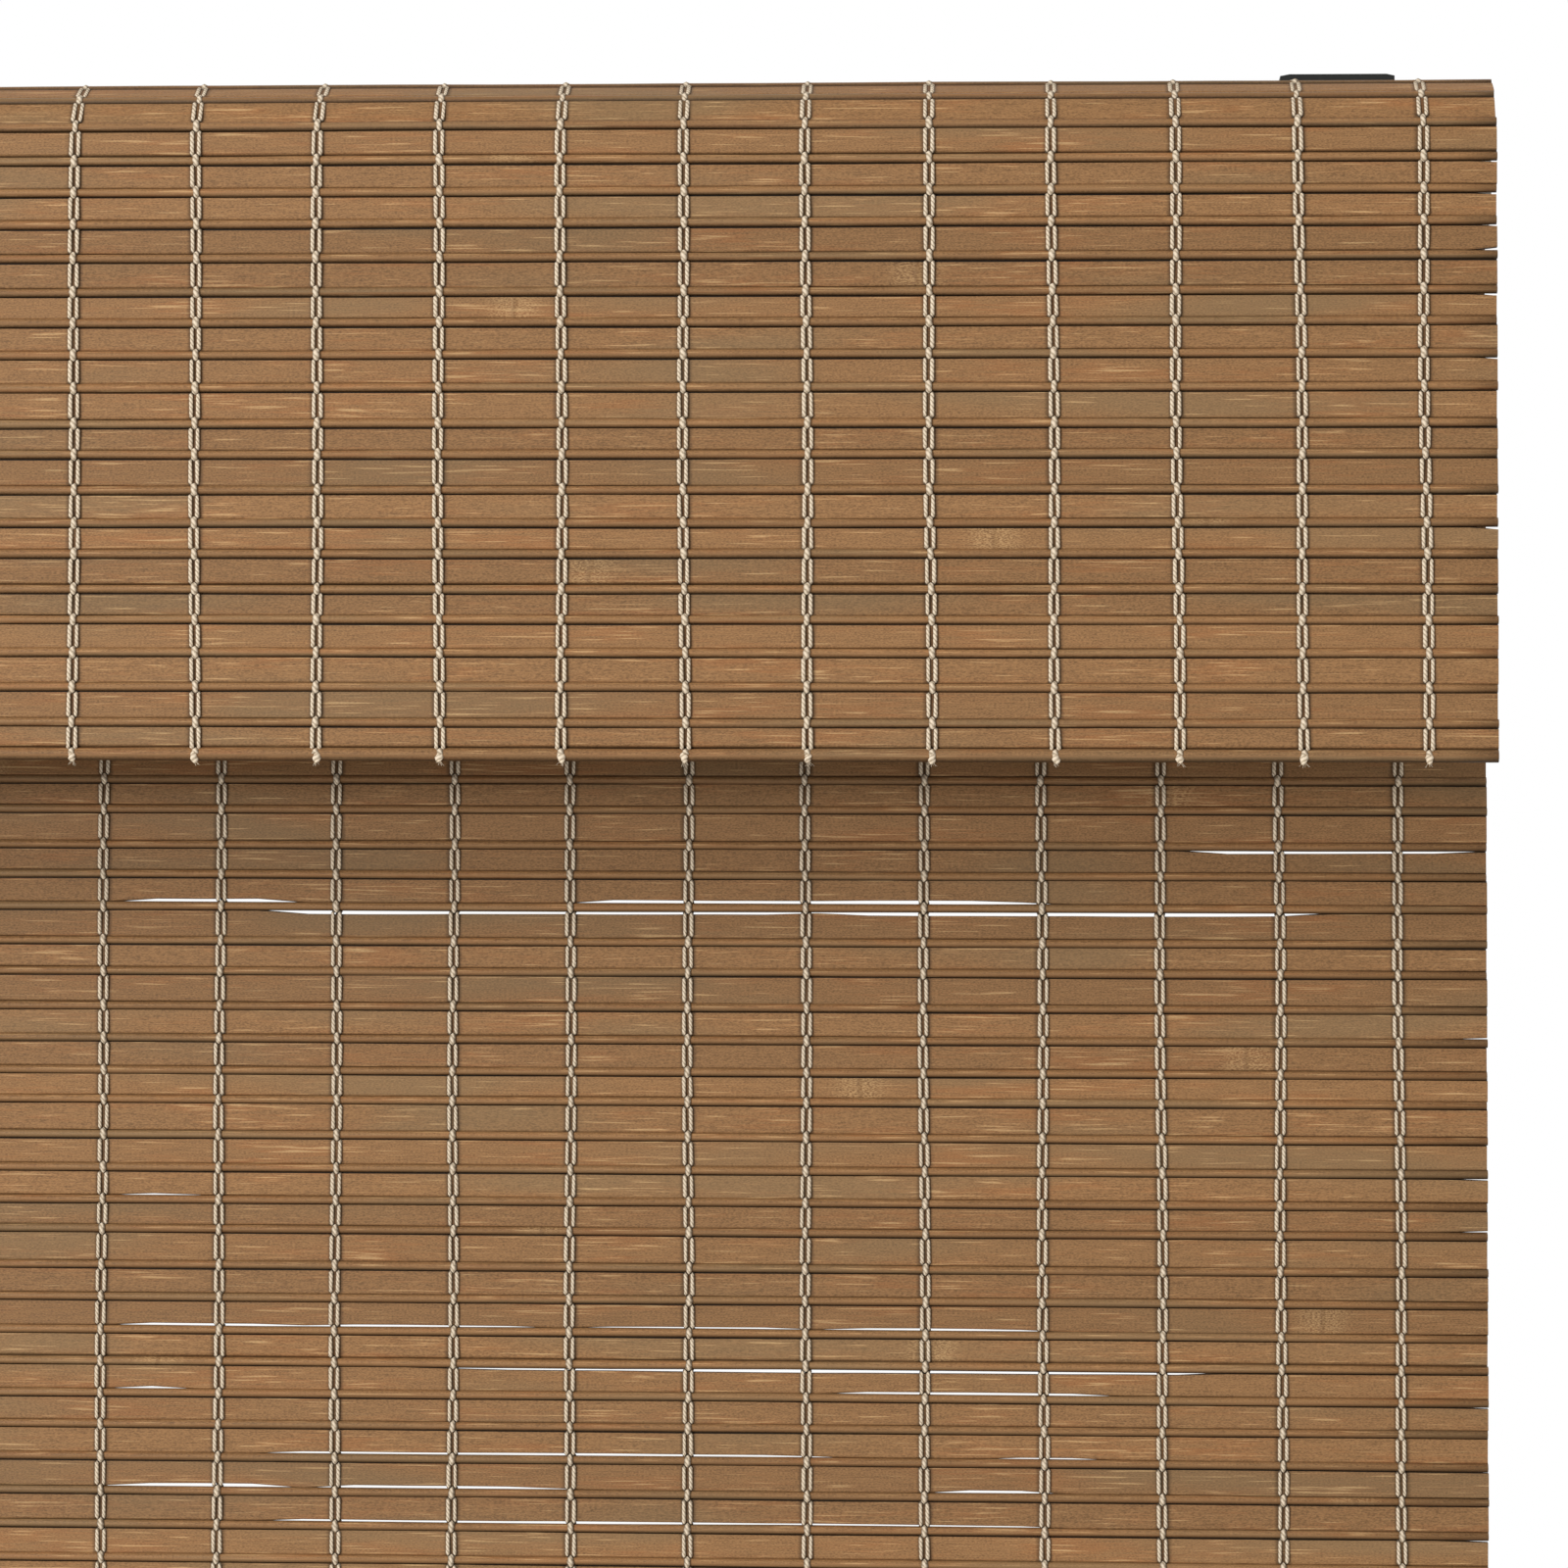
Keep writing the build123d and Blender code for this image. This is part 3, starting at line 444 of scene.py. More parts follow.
points, facts = reed_tubes(valance_reeds, 0, VALANCE_LEFT, VALANCE_RIGHT, hang_valance, 60, 12, 2.3)
valance_reed_sticks = tube_mesh("valance_reeds", points, facts)
points, facts = reed_tubes(panel_reeds, len(panel_reeds) - 1, PANEL_LEFT, PANEL_RIGHT, hang_panel, 16, 8, 6.1)
panel_reed_sticks = tube_mesh("panel_reeds", *some_rows(points, facts, 0, -FOOT_ROWS - 1))
foot_reed_sticks = tube_mesh("foot_reeds", *some_rows(points, facts, -FOOT_ROWS - 1, None))

# %% [markdown]
# The twine binds the mat in columns. In each of them two strands run side by side over every slat and dive
# behind the reed, while a third passes over the reed and behind the slat. Each strand is a thin tube, and its
# path is worked out once for one row and repeated over rows and columns.

# %% Strands of twine
PAIR_HALF = 0.8 * MM
STRAND_R = 0.45 * MM
STITCH_R = 0.62 * MM
TWINE_PRESSED = 0.7
# position within a row (0 at one reed, 1 at the next), how far out in mm, share of PAIR_HALF aside
PAIR_PATH = np.array([(0.0, -1.45, 0.9), (0.15, -0.75, 1.0), (0.172, 0.65, 1.0), (0.205, 1.05, 1.0),
                      (0.795, 1.05, 1.0), (0.828, 0.65, 1.0), (0.85, -0.75, 1.0)])
STITCH_PATH = np.array([(0.0, 1.5, 0.0), (0.115, 1.15, 0.0), (0.165, 0.0, 0.0), (0.23, -0.95, 0.0),
                        (0.77, -0.95, 0.0), (0.835, 0.0, 0.0), (0.885, 1.15, 0.0)])


def strand_tubes(reeds, columns, path, aside, radius, stitch, hang, corners, seed, drift, bend_from):
    """Row path repeated from reed to reed, with a circle of corners across it that swells a little by chance.

    A stitch also swells where it stands out over the reed.
    Painted shade is stored on the points: none on the crown, half on the sides and full where the strand dives
    through the mat. The crown faces the room or the window, as the strand does. Past bend_from the strands are
    tight and flatter.
    """
    reeds = np.sort(reeds)
    gaps = np.diff(reeds)
    s = (reeds[:-1, None] + gaps[:, None] * path[None, :, 0]).reshape(-1)
    s = np.append(s, reeds[-1])
    out = np.append(np.tile(path[:, 1], len(gaps)), path[0, 1]) * MM
    pressed = 1.0 - (1.0 - TWINE_PRESSED) * np.clip((s - bend_from) / BEND_R, 0.0, 1.0)
    out = out * pressed
    spread = np.append(np.tile(path[:, 2], len(gaps)), path[0, 2])
    rows = np.arange(len(s))[None, :, None]
    x0 = np.array(columns)[:, None, None]
    rank = np.arange(len(columns))[:, None, None]
    strand_seed = seed + 0.417 * rank
    sway = 0.07 * MM * np.sin(0.9 * rows + 7.1 * strand_seed) + 0.22 * MM * np.sin(0.06 * rows + 3.3 * rank)
    path_x = x0 + aside * spread[None, :, None] + sway + drift(s)[None, :, None]
    swell = radius * (1.0 + 0.12 * np.sin(2.3 * rows * rows + 9.7 * strand_seed))
    if stitch:
        swell = swell * (0.75 + 0.45 * np.clip(out / (1.5 * MM), 0.0, 1.0))[None, :, None]
    ds, do = np.gradient(s), np.gradient(out)
    length = np.hypot(ds, do)
    across_s, across_out = (do / length)[None, :, None], (-ds / length)[None, :, None]
    share = np.arange(corners)[None, None, :] / corners
    angle = 2 * math.pi * share + math.pi / 2 + math.pi / corners * (corners % 2)
    flat = (np.where(np.abs(out) > 0.6 * MM, 0.9, 0.7) * pressed)[None, :, None]
    x = path_x + swell * np.cos(angle)
    offset = swell * flat * np.sin(angle)
    points = hang(x, s[None, :, None] + offset * across_s, out[None, :, None] + offset * across_out)
    run = np.cumsum(np.append(0.0, np.hypot(np.diff(s), np.diff(out))))
    grain = np.stack(np.broadcast_arrays(run[None, :, None], share, strand_seed), axis=-1)
    shown = np.where(out > 0.0, 1.02, 0.75) * MM * pressed
    dived = np.clip((shown - np.abs(out)) / (0.32 * MM), 0.0, 1.0)[None, :, None]
    crown = -np.sin(angle) * np.sign(out)[None, :, None]
    edge = 0.5 - 0.5 * crown + 0.75 * dived + (0.12 if stitch else 0.0)
    edge = np.broadcast_to(np.clip(edge, 0.0, 1.0), points.shape[:3])
    return points, {"grain": grain, "edge": edge}


valance_columns = VALANCE_LAST_COLUMN - TWINE_PITCH * np.arange(TWINE_COLUMNS)
panel_columns = PANEL_LAST_COLUMN - TWINE_PITCH * np.arange(TWINE_COLUMNS)
panel_rows = np.sort(panel_reeds)
twines = []
for mat, reeds, columns, hang, corners, drift, bend_from in (
        ("valance", valance_reeds, valance_columns, hang_valance, 5, leans_left, BEND_FROM),
        ("panel", panel_rows[FOOT_ROWS:], panel_columns, hang_panel, 4, hangs_askew, PANEL_LENGTH),
        ("foot", panel_rows[:FOOT_ROWS + 1], panel_columns, hang_panel, 4, hangs_askew, PANEL_LENGTH)):
    for strand, path, aside, radius, stitch in (("left", PAIR_PATH, -PAIR_HALF, STRAND_R, False),
                                                ("right", PAIR_PATH, PAIR_HALF, STRAND_R, False),
                                                ("middle", STITCH_PATH, 0.0, STITCH_R, True)):
        seed = len(twines) + 0.3
        points, facts = strand_tubes(reeds, columns, path, aside, radius, stitch, hang, corners, seed, drift,
                                     bend_from)
        twines.append(tube_mesh(f"{mat}_twine_{strand}", points, facts))

# %% [markdown]
# At the valance's foot each column ends in a knot under the thick reed, with its cut ends frayed below it.

# %% Knots and frayed ends
KNOT_R = 0.85 * MM
KNOT_TALL = 1.25 * MM
HAIRS = 9
HAIR_R = 0.08 * MM


def knot_tubes(columns):
    """Upright bead over the thick reed: radius KNOT_R at its middle, closing as a half circle to each end."""
    along = np.linspace(-1.0, 1.0, 9)[None, :, None]
    angle = np.linspace(0.0, 2 * math.pi, 10, endpoint=False)[None, None, :]
    rank = np.arange(len(columns))[:, None, None]
    x0 = np.array(columns)[:, None, None] + 0.12 * MM * np.sin(5.0 * rank)
    lumpy = 1.0 + 0.16 * np.sin(2.0 * angle + 3.0 * along + rank) + 0.08 * np.sin(9.0 * along + rank)
    radius = KNOT_R * np.sqrt(np.clip(1.0 - along ** 2, 0.03, 1.0)) * lumpy
    tall = KNOT_TALL * (1.0 + 0.15 * np.sin(2.1 * rank))
    x = x0 + radius * np.cos(angle) + 0.25 * MM * along * np.sin(1.7 * rank)
    s = 0.75 * MM + tall * along + 0.0 * angle
    out = 1.45 * MM + 0.75 * radius * np.sin(angle)
    grain = np.stack(np.broadcast_arrays(s, angle / (2 * math.pi), 0.2 * rank), axis=-1)
    # Painted shade, darker on the knot's side towards the mat.
    edge = np.broadcast_to(0.35 - 0.35 * np.sin(angle) + 0.0 * s, s.shape)
    return hang_valance(x, s, out), {"grain": grain, "edge": edge}


def hair_tubes(columns):
    """Thin three-cornered threads that leave the knot downwards and fan out by angles from a formula."""
    rank = np.repeat(np.arange(len(columns)), HAIRS)[:, None, None]
    hair = np.tile(np.arange(HAIRS), len(columns))[:, None, None]
    along = np.linspace(0.0, 1.0, 5)[None, :, None]
    angle = np.linspace(0.0, 2 * math.pi, 3, endpoint=False)[None, None, :]
    lean = 0.8 * np.sin(2.7 * hair + 1.3 * rank + hair * rank)
    reach = (0.9 + 0.5 * np.sin(4.3 * hair + 2.1 * rank)) * MM
    x0 = np.repeat(np.array(columns), HAIRS)[:, None, None]
    x = x0 + 0.4 * MM * np.sin(1.9 * hair) + reach * lean * along + HAIR_R * np.cos(angle)
    s = -0.1 * MM - reach * along * (1.0 - 0.3 * np.abs(lean))
    out = 1.5 * MM + 0.4 * MM * np.sin(hair + rank) * along + HAIR_R * np.sin(angle)
    points = hang_valance(x, s, out)
    grain = np.stack(np.broadcast_arrays(x, angle / (2 * math.pi), 0.1 * hair), axis=-1)
    return points, {"grain": grain}


points, facts = knot_tubes(valance_columns)
knots = tube_mesh("valance_knots", points, facts)
points, facts = hair_tubes(valance_columns)
frayed_ends = tube_mesh("valance_frayed_ends", points, facts)

# %% [markdown]
# The rear batten clamps the panel's top to the headrail with small pan-head screws, one of the few things to
# see from behind. Each head is a profile of radius and height, turned about the screw's axis, with a socket.

# %% Clamp screws of the rear batten
SCREW_PLACES = np.array([-0.23, -0.115, 0.0, 0.115, 0.23])
SCREW_PROFILE = np.array([(0.0, 0.55), (0.85, 0.55), (0.9, 1.35), (1.7, 1.3), (2.5, 1.0), (2.9, 0.5),
                          (3.0, -0.1), (0.0, -0.1)]) * MM
SCREW_SIDES = 12
LEAST_SCREW_R = 0.02 * MM


def screw_heads(places, profile, sides):
    """Rings of the profile round each place, from the bottom of the socket to the foot sunk in the wood."""
    low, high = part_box("rear_batten")
    angle = np.linspace(0.0, 2 * math.pi, sides, endpoint=False)[None, None, :]
    radius = np.maximum(profile[:, 0], LEAST_SCREW_R)[None, :, None]
    x = places[:, None, None] + radius * np.cos(angle)
    y = high[1] + profile[:, 1][None, :, None]
    z = (low[2] + high[2]) / 2 + radius * np.sin(angle)
    return np.stack(np.broadcast_arrays(x, y, z), axis=-1)


screws = tube_mesh("batten_screws", screw_heads(SCREW_PLACES, SCREW_PROFILE, SCREW_SIDES), {}, smooth=False)

# %% [markdown]
# Finishes are written as sums and products of shade fields. The small class below wraps a socket, so that a
# line such as fibre * 0.5 + tint adds the Math nodes itself, and one method makes any other node.


# %% Shader maths
class Shade:
    """A socket that varies over the surface; arithmetic on it adds Math nodes to its material's tree."""

    def __init__(self, tree, socket=None):
        self.tree = tree
        self.socket = socket

    def node(self, kind, settings=(), inputs=(), output=0):
        """Adds a node: its settings first, then its inputs as values or Shades."""
        made = self.tree.nodes.new(kind)
        for name, value in dict(settings).items():
            setattr(made, name, value)
        for name, value in dict(inputs).items():
            if isinstance(value, Shade):
                self.tree.links.new(value.socket, made.inputs[name])
            else:
                made.inputs[name].default_value = value
        return Shade(self.tree, made.outputs[output])

    def attribute(self, name, output=2):
        """What is stored on the points: output 2 is a number and output 1 a vector."""
        return self.node("ShaderNodeAttribute", {"attribute_name": name}, {}, output)

    def place(self):
        """Object coordinates."""
        return self.node("ShaderNodeTexCoord", {}, {}, output=3)

    def part(self, axis):
        """One part of this vector: 0 for x, 1 for y and 2 for z."""
        return self.node("ShaderNodeSeparateXYZ", {}, {0: self}, axis)

    def math(self, operation, first, second=0.0):
        return self.node("ShaderNodeMath", {"operation": operation}, {0: first, 1: second})

    def __add__(self, other):
        return self.math("ADD", self, other)

    def __sub__(self, other):
        return self.math("SUBTRACT", self, other)

    def __rsub__(self, other):
        return self.math("SUBTRACT", other, self)

    def __mul__(self, other):
        return self.math("MULTIPLY", self, other)

    def __truediv__(self, other):
        return self.math("DIVIDE", self, other)

    __radd__ = __add__
    __rmul__ = __mul__

    def sine(self):
        return self.math("SINE", self)

    def fraction(self):
        return self.math("FRACT", self)

    def size(self):
        return self.math("ABSOLUTE", self)

    def between(self, low, high):
        """0 below low, 1 above high, and a smooth step from one to the other."""
        return self.node("ShaderNodeMapRange", {"interpolation_type": "SMOOTHSTEP"},
                         {"Value": self, "From Min": low, "From Max": high})

    def mix(self, colour_a, colour_b):
        """colour_a where this is 0 and colour_b where it is 1."""
        a = (*colour_a, 1.0) if isinstance(colour_a, tuple) else colour_a
        b = (*colour_b, 1.0) if isinstance(colour_b, tuple) else colour_b
        return self.node("ShaderNodeMix", {"data_type": "RGBA"}, {0: self, 6: a, 7: b}, output=2)

    def stretched(self, x, y, z):
        """The vector multiplied along each of its directions."""
        return self.node("ShaderNodeVectorMath", {"operation": "MULTIPLY"}, {0: self, 1: (x, y, z)})

    def noise(self, scale, detail=2.0, roughness=0.5):
        return self.node("ShaderNodeTexNoise", {}, {"Vector": self, "Scale": scale, "Detail": detail,
                                                    "Roughness": roughness})


def new_material(name):
    """A material with its Principled shader, the shader's node and an empty Shade of its tree."""
    material = bpy.data.materials.new(name)
    material.use_nodes = True
    return material, material.node_tree.nodes["Principled BSDF"], Shade(material.node_tree)


def plug(shader, name, shade):
    shade.tree.links.new(shade.socket, shader.inputs[name])


def bump(height, strength, distance):
    return height.node("ShaderNodeBump", {}, {"Height": height, "Strength": strength, "Distance": distance})


# %% [markdown]
# Split bamboo shows short parallel fibres. Its colour comes from several layers: a tint for each slat, soft
# patches some centimetres long, reddish and pale fibres a few millimetres long, fine pores, and on a few slats
# the dark line of a node with scraped skin beside it. Painted shade darkens the grooves at the slats' edges
# nearly to black and the underside of each reed, and a painted shadow darkens the slat beside the twine. All
# layers read the slat's own coordinates, so the pattern stays on the mat when the blind is raised.

# %% Bamboo
BAMBOO_DARK = (0.195, 0.100, 0.040)
BAMBOO_MID = (0.325, 0.170, 0.070)
BAMBOO_PALE = (0.640, 0.420, 0.200)
BAMBOO_RED = (0.340, 0.140, 0.050)
BAMBOO_GREY = (0.240, 0.155, 0.075)
BAMBOO_SHADE = (0.016, 0.008, 0.003)
NODE_SPACING = 0.37


def bamboo(name, tone, gloss, shadow_beside_twine):
    """Layers of stretched noise over the grain attribute: x along the slat, y across it, z its seed."""
    material, shader, base = new_material(name)
    grain = base.attribute("grain", output=1)
    tint = base.attribute("tint")
    edge = base.attribute("edge")
    fibre = grain.stretched(150.0, 3400.0, 41.0).noise(1.0, 2.0, 0.6)
    strand = grain.stretched(75.0, 2400.0, 29.0).noise(1.0, 1.0, 0.5)
    patch = grain.stretched(26.0, 190.0, 11.0).noise(1.0, 3.0, 0.6)
    cloud = grain.stretched(11.0, 60.0, 5.0).noise(1.0, 1.0, 0.5)
    pore = grain.stretched(1700.0, 5200.0, 61.0).noise(1.0, 1.0, 0.5)
    colour = (fibre * 0.5 + pore * 0.5).between(0.28, 0.6).mix(BAMBOO_DARK, BAMBOO_MID)
    colour = ((patch * 0.6 + strand * 0.4).between(0.49, 0.63) * 0.62).mix(colour, BAMBOO_RED)
    colour = (cloud.between(0.5, 0.68) * 0.55).mix(colour, BAMBOO_GREY)
    colour = ((strand * 0.72 + patch * 0.28).between(0.58, 0.69) * 0.6).mix(colour, BAMBOO_PALE)
    seed = grain.part(2)
    along = grain.part(0) / NODE_SPACING + seed * 3.77
    node_gap = ((along + patch * 0.006).fraction() - 0.5).size() * NODE_SPACING
    has_node = (seed * 5.31).fraction().between(0.78, 0.8)
    node_line = (1.0 - node_gap.between(0.0002, 0.0009)) * has_node
    node_skin = (1.0 - node_gap.between(0.002, 0.008)) * has_node * pore.between(0.4, 0.6)
    colour = (node_skin * 0.35).mix(colour, BAMBOO_PALE)
    colour = (node_line * 0.4).mix(colour, BAMBOO_DARK)
    brightness = tint * 0.2 + pore * 0.7 + (tone - 0.35)
    colour = colour.node("ShaderNodeHueSaturation", {}, {"Color": colour, "Value": brightness})
    # Painted shadow darkens the slat within about 2 mm of each twine column, by up to a half.
    if shadow_beside_twine:
        aside = (base.attribute("column").fraction() - 0.5).size() * TWINE_PITCH
        colour = ((1.0 - aside.between(0.0012, 0.0022)) * 0.5).mix(colour, BAMBOO_SHADE)
    # Painted shade from the points: slats' grooves and backs, and the reeds' lower halves.
    colour = edge.between(0.0, 0.9).mix(colour, BAMBOO_SHADE)
    plug(shader, "Base Color", colour)
    plug(shader, "Roughness", fibre * 0.25 + gloss)
    height = fibre * 0.5 + pore * 0.25 + node_line * 0.8
    plug(shader, "Normal", bump(height, 0.45, 0.00015))
    shader.inputs["Specular IOR Level"].default_value = 0.22
    return material


slat_bamboo = bamboo("slat_bamboo", 0.9, 0.45, True)
reed_bamboo = bamboo("reed_bamboo", 0.95, 0.36, False)

# %% [markdown]
# The twine is soft cotton in two plies. The plies are drawn as slanting bands round each strand, dark in the
# grooves and pale on the crowns, with a little fluff, and the same bands lift the surface.

# %% Cotton of the twine
TWINE_PALE = (0.960, 0.810, 0.620)
TWINE_SHADE = (0.420, 0.320, 0.210)
TWINE_SIDE_SHADE = (0.060, 0.040, 0.022)
PLY_LENGTH = 0.0011


def cotton(name):
    """Slanting bands: the sine of run along the strand over the ply length, plus twice the turn round it."""
    material, shader, base = new_material(name)
    grain = base.attribute("grain", output=1)
    edge = base.attribute("edge")
    ply = ((grain.part(0) / PLY_LENGTH + grain.part(1) * 2.0) * (2.0 * math.pi)).sine() * 0.5 + 0.5
    fluff = grain.stretched(3000.0, 6.0, 13.0).noise(1.0, 2.0, 0.6)
    colour = (ply * 0.5 + fluff * 0.6).between(0.15, 0.7).mix(TWINE_SHADE, TWINE_PALE)
    # Painted shade on the strands' sides, on the knots' backs and where the strands dive through the mat.
    colour = ((edge + fluff * 0.3).between(0.35, 1.0) * 0.92).mix(colour, TWINE_SIDE_SHADE)
    plug(shader, "Base Color", colour)
    plug(shader, "Normal", bump(ply + fluff * 0.5, 0.6, 0.0002))
    shader.inputs["Roughness"].default_value = 0.85
    shader.inputs["Specular IOR Level"].default_value = 0.2
    return material


twine_cotton = cotton("twine_cotton")

# %% [markdown]
# The woven pieces take the place of the plain solids of their mat. They hang from the headrail, and those of
# the panel get meshes of their own. The lowest rows ride on the bottom rail.

# %% Finish and place the mats' pieces
mat_pieces = [(slats, slat_bamboo, "bamboo") for slats in (valance_slats, panel_slats, foot_slats)]
mat_pieces += [(sticks, reed_bamboo, "bamboo")
               for sticks in (valance_reed_sticks, panel_reed_sticks, foot_reed_sticks)]
mat_pieces += [(strands, twine_cotton, "twine") for strands in (knots, frayed_ends, *twines)]
for piece, finish, slot in mat_pieces:
    piece.data.materials.append(finish)
    mat = piece.name.split("_")[0]
    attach(piece, "foot" if mat == "foot" else "head")
    if mat != "foot":
        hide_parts(mat + ("_mat" if slot == "bamboo" else "_twine"))
    if mat == "panel":
        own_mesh(piece)

# %% [markdown]
# The rigid pieces keep their solids and only get finishes: painted steel for the headrail, a dark coat on the
# brackets, bright zinc on the shaft, moulded plastic for what turns, and stained wood for the two battens.


# %% Finishes of the rigid pieces
WOOD_DARK = (0.16, 0.085, 0.04)
WOOD_PALE = (0.33, 0.19, 0.10)
TAPE_DARK = (0.38, 0.33, 0.27)
TAPE_PALE = (0.62, 0.57, 0.49)
THREAD_WAVE = 5200.0


def plain_finish(name, colour, worn, roughness, metallic, grain_size, sheen):
    """Two close tones mixed by noise on Object coordinates, which also varies the gloss and the surface."""
    material, shader, base = new_material(name)
    fine = base.place().noise(grain_size, 3.0, 0.6)
    broad = base.place().noise(grain_size * 0.04, 2.0, 0.5)
    plug(shader, "Base Color", (fine * 0.4 + broad * 0.6).between(0.35, 0.68).mix(colour, worn))
    plug(shader, "Roughness", fine * 0.15 + (roughness - 0.07))
    plug(shader, "Normal", bump(fine, 0.15, 0.0001))
    shader.inputs["Metallic"].default_value = metallic
    shader.inputs["Specular IOR Level"].default_value = sheen
    return material


def stained_wood(name):
    """Rings and fibres of plain wood: noise stretched along X on Object coordinates, dark in the pores."""
    material, shader, base = new_material(name)
    rings = base.place().stretched(2.0, 160.0, 160.0).noise(1.0, 3.0, 0.5)
    pores = base.place().stretched(30.0, 2600.0, 2600.0).noise(1.0, 2.0, 0.5)
    colour = (rings * 0.6 + pores * 0.4).between(0.35, 0.65).mix(WOOD_DARK, WOOD_PALE)
    plug(shader, "Base Color", colour)
    plug(shader, "Roughness", pores * 0.3 + 0.35)
    plug(shader, "Normal", bump(pores, 0.3, 0.0002))
    return material


def loop_tape(name):
    """Woven tape: two crossed waves on Object coordinates as threads, with fuzz from noise."""
    material, shader, base = new_material(name)
    place = base.place()
    threads = (place.part(0) * THREAD_WAVE).sine() * (place.part(2) * THREAD_WAVE).sine() * 0.5 + 0.5
    fuzz = place.noise(3000.0, 2.0, 0.6)
    plug(shader, "Base Color", (threads * 0.5 + fuzz * 0.5).mix(TAPE_DARK, TAPE_PALE))
    plug(shader, "Normal", bump(threads + fuzz, 0.5, 0.0002))
    shader.inputs["Roughness"].default_value = 0.9
    return material


# slot, then the finish's name, colour, worn colour, roughness, metallic, grain size and sheen
PLAIN_FINISHES = (
    ("headrail_steel", "painted_headrail", (0.70, 0.68, 0.63), (0.62, 0.60, 0.55), 0.42, 0.0, 900.0, 0.5),
    ("bracket_steel", "dark_bracket_coat", (0.009, 0.01, 0.009), (0.018, 0.019, 0.016), 0.5, 0.0, 900.0, 0.25),
    ("bright_steel", "bright_zinc", (0.62, 0.62, 0.60), (0.48, 0.48, 0.47), 0.32, 1.0, 700.0, 0.5),
    ("spring_steel", "spring_strip", (0.30, 0.31, 0.33), (0.20, 0.21, 0.24), 0.28, 1.0, 700.0, 0.5),
    ("moulding", "moulded_plastic", (0.66, 0.64, 0.58), (0.60, 0.58, 0.52), 0.48, 0.0, 600.0, 0.5),
    ("ring_plastic", "ring_plastic", (0.78, 0.76, 0.70), (0.70, 0.68, 0.62), 0.3, 0.0, 600.0, 0.5),
)
FINISHES = {slot: plain_finish(*values) for slot, *values in PLAIN_FINISHES}
FINISHES["stained_wood"] = stained_wood("stained_batten")
FINISHES["tape"] = loop_tape("loop_tape")
slot_of = {entry["node"]: entry["material_slot"] for entry in frame["record"]["subparts"]}
for node, solid in frame["nodes"].items():
    finish = FINISHES.get(slot_of[node])
    if finish is not None:
        solid.data.materials.clear()
        solid.data.materials.append(finish)
screws.data.materials.append(FINISHES["bright_steel"])
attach(screws, "head")
print("finished", len(frame["nodes"]), "nodes")

# %% [markdown]
# The camera stands a metre away, to the right of the blind's middle and a little below the valance, and
# looks slightly up. Its place was worked out from the lines of the rows and columns in the photograph.

# %% Camera
CAMERA_PLACE = (0.19346, -1.06231, -0.21157)
YAW, PITCH, ROLL = math.radians(-2.652), math.radians(2.715), math.radians(0.245)
LENS = 105.14
SENSOR_WIDTH = 36.0
NEAREST_SEEN = 0.01


def stand(piece, place, axes):
    """Moves a camera or lamp to its place, with its axes as the columns of its turn."""
    turned = np.eye(4)
    turned[:3, :3] = axes
    turned[:3, 3] = place
    piece.matrix_world = Matrix(turned.tolist())


def camera_axes(yaw, pitch, roll):
    """Turn aside by yaw, tip up by pitch, then roll about the line of sight; columns right, up and back."""
    ahead = np.array([math.sin(yaw), math.cos(yaw), 0.0])
    right = np.array([math.cos(yaw), -math.sin(yaw), 0.0])
    up = np.array([0.0, 0.0, 1.0])
    sight = ahead * math.cos(pitch) + up * math.sin(pitch)
    tipped = up * math.cos(pitch) - ahead * math.sin(pitch)
    side = right * math.cos(roll) + tipped * math.sin(roll)
    top = tipped * math.cos(roll) - right * math.sin(roll)
    return np.stack([side, top, -sight], axis=1)


camera_data = bpy.data.cameras.new("camera")
camera_data.lens = LENS
camera_data.sensor_width = SENSOR_WIDTH
camera_data.clip_start = NEAREST_SEEN
camera = add_object("camera", camera_data)
stand(camera, CAMERA_PLACE, camera_axes(YAW, PITCH, ROLL))
bpy.context.scene.camera = camera
print("camera at", CAMERA_PLACE)

# %% [markdown]
# The light comes from the left in front, as in the photograph. One lamp is about level with the headrail and
# lights the faces of the slats evenly. The other is higher up and shades the panel under the valance. The
# backdrop is white only for what the camera, a reflection or a clear piece sees, so that it adds no light.

# %% Light, floor and white background
FLOOR_Z = PANEL_FOOT_Z - 0.12
FLOOR_HALF = 4.0
FLOOR_COLOUR = (0.86, 0.86, 0.85, 1.0)
AMBIENT_COLOUR = (1.0, 0.985, 0.96, 1.0)
AMBIENT_STRENGTH = 0.42
WHITE = (1.0, 1.0, 1.0, 1.0)


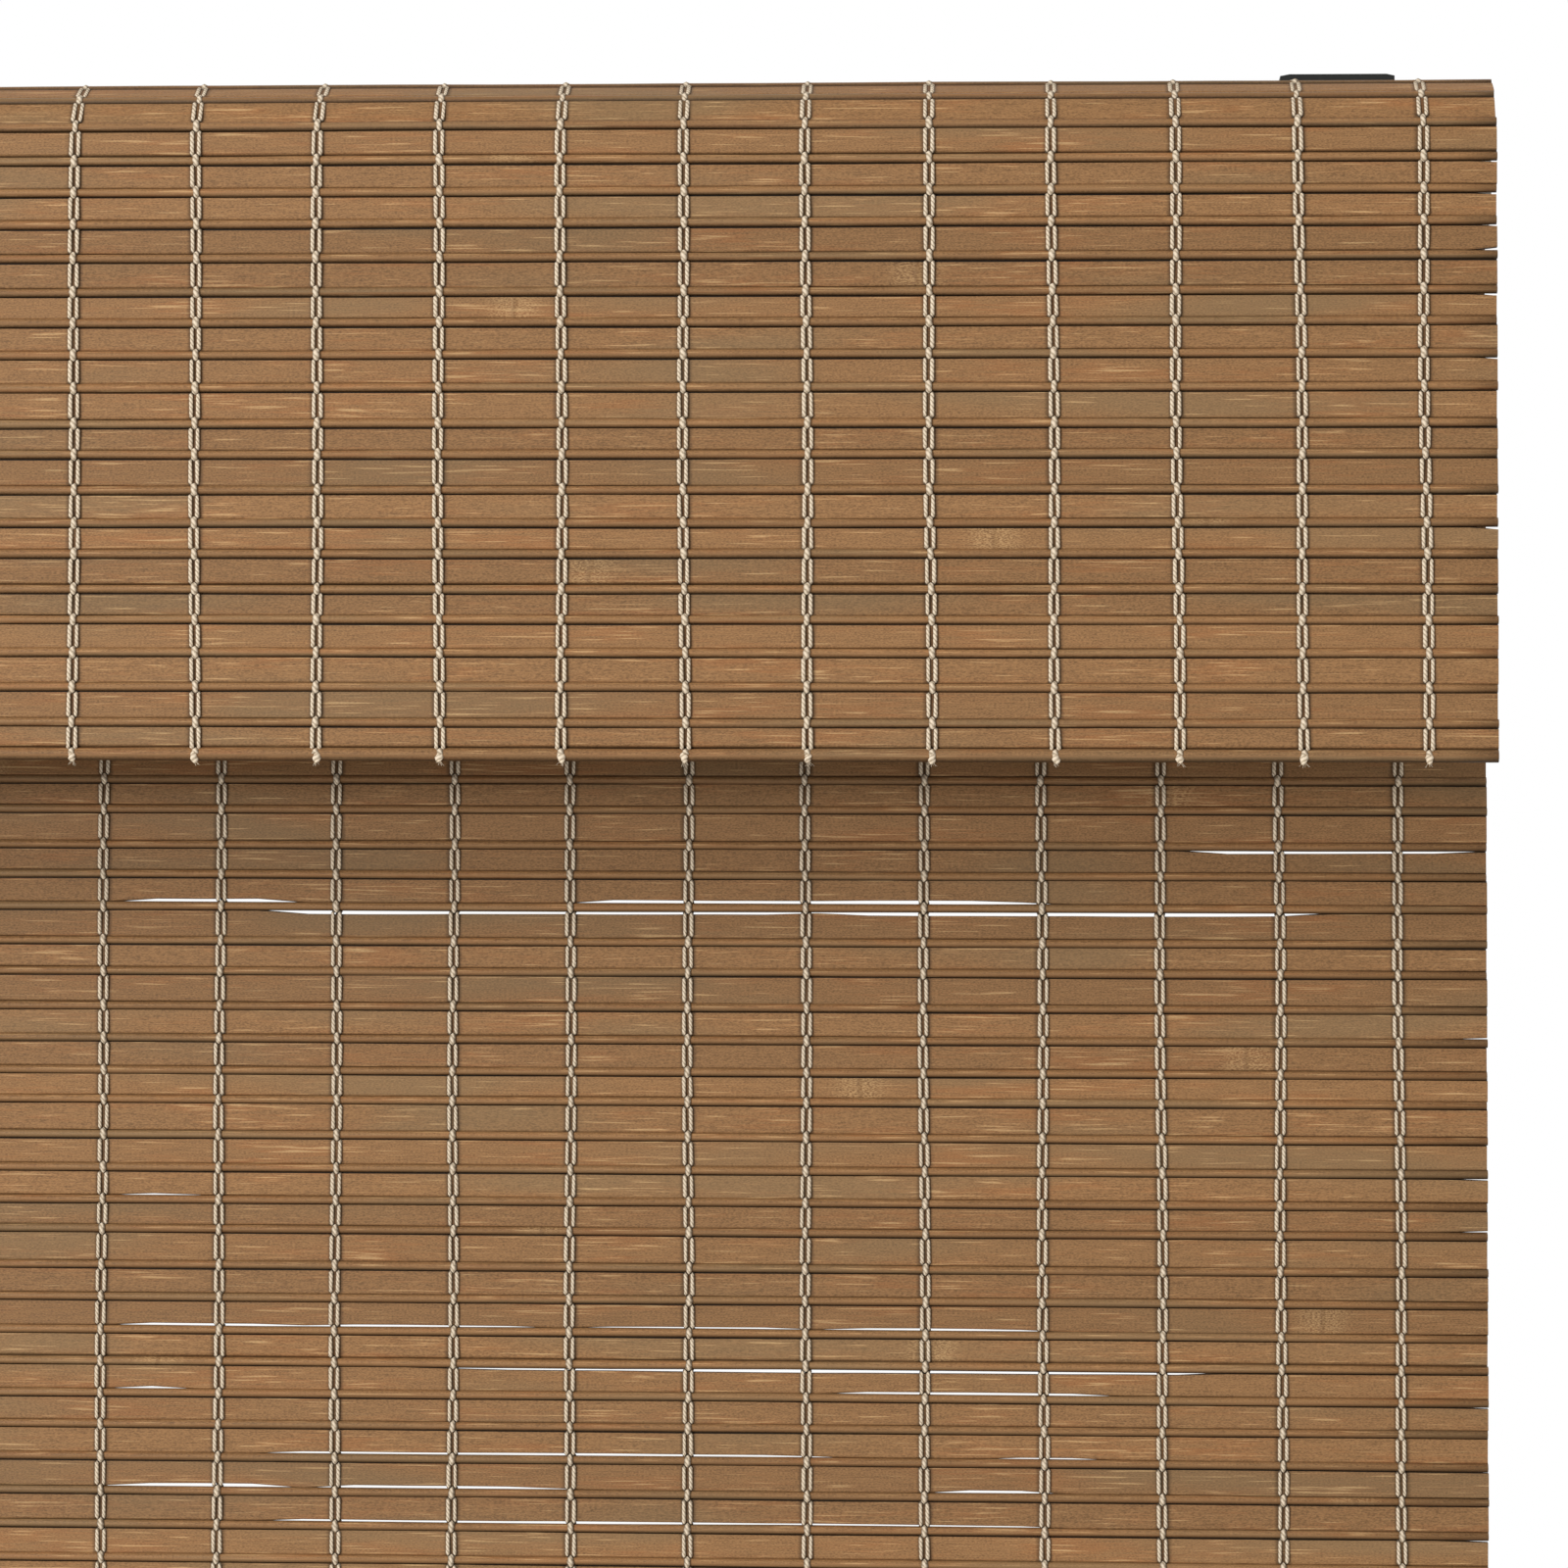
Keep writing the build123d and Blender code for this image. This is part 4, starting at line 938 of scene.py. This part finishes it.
def lamp(name, place, target, size, energy):
    """Square area lamp that looks from its place to its target."""
    data = bpy.data.lights.new(name, "AREA")
    data.shape = "SQUARE"
    data.size = size
    data.energy = energy
    sight = np.array(target) - np.array(place)
    sight = sight / np.linalg.norm(sight)
    side = np.cross(sight, (0.0, 0.0, 1.0))
    side = side / np.linalg.norm(side)
    stand(add_object(name, data), place, np.stack([side, np.cross(side, sight), -sight], axis=1))
    print(name, "at", place)


lamp("front_light", (-1.25, -2.5, 0.04), (0.15, 0.0, -0.25), 0.5, 31.5)
lamp("high_light", (-1.3, -2.0, 1.2), (0.1, 0.0, -0.25), 0.6, 17.5)

world = bpy.data.worlds.new("studio")
bpy.context.scene.world = world
world.use_nodes = True
tree = world.node_tree
ambient = tree.nodes["Background"]
ambient.inputs["Color"].default_value = AMBIENT_COLOUR
ambient.inputs["Strength"].default_value = AMBIENT_STRENGTH
white = Shade(tree).node("ShaderNodeBackground", {}, {"Color": WHITE, "Strength": 1.0})
path = tree.nodes.new("ShaderNodeLightPath")
seen = Shade(tree, path.outputs["Is Camera Ray"])
mirrored = Shade(tree, path.outputs["Is Glossy Ray"])
through = Shade(tree, path.outputs["Is Transmission Ray"])
shows_white = seen.math("MAXIMUM", seen, seen.math("MAXIMUM", mirrored, through))
mixed = seen.node("ShaderNodeMixShader", {}, {0: shows_white, 1: Shade(tree, ambient.outputs[0]), 2: white})
tree.links.new(mixed.socket, tree.nodes["World Output"].inputs["Surface"])

floor_mesh = bpy.data.meshes.new("floor")
floor_corners = [(FLOOR_HALF * x, FLOOR_HALF * y, FLOOR_Z) for x, y in ((-1, -1), (1, -1), (1, 1), (-1, 1))]
floor_mesh.from_pydata(floor_corners, [], [(0, 1, 2, 3)])
floor = add_object("floor", floor_mesh)
floor_paint, floor_shader, _ = new_material("floor_paint")
floor_shader.inputs["Base Color"].default_value = FLOOR_COLOUR
floor_shader.inputs["Roughness"].default_value = 0.8
floor_mesh.materials.append(floor_paint)
bpy.context.scene.view_settings.view_transform = "Standard"
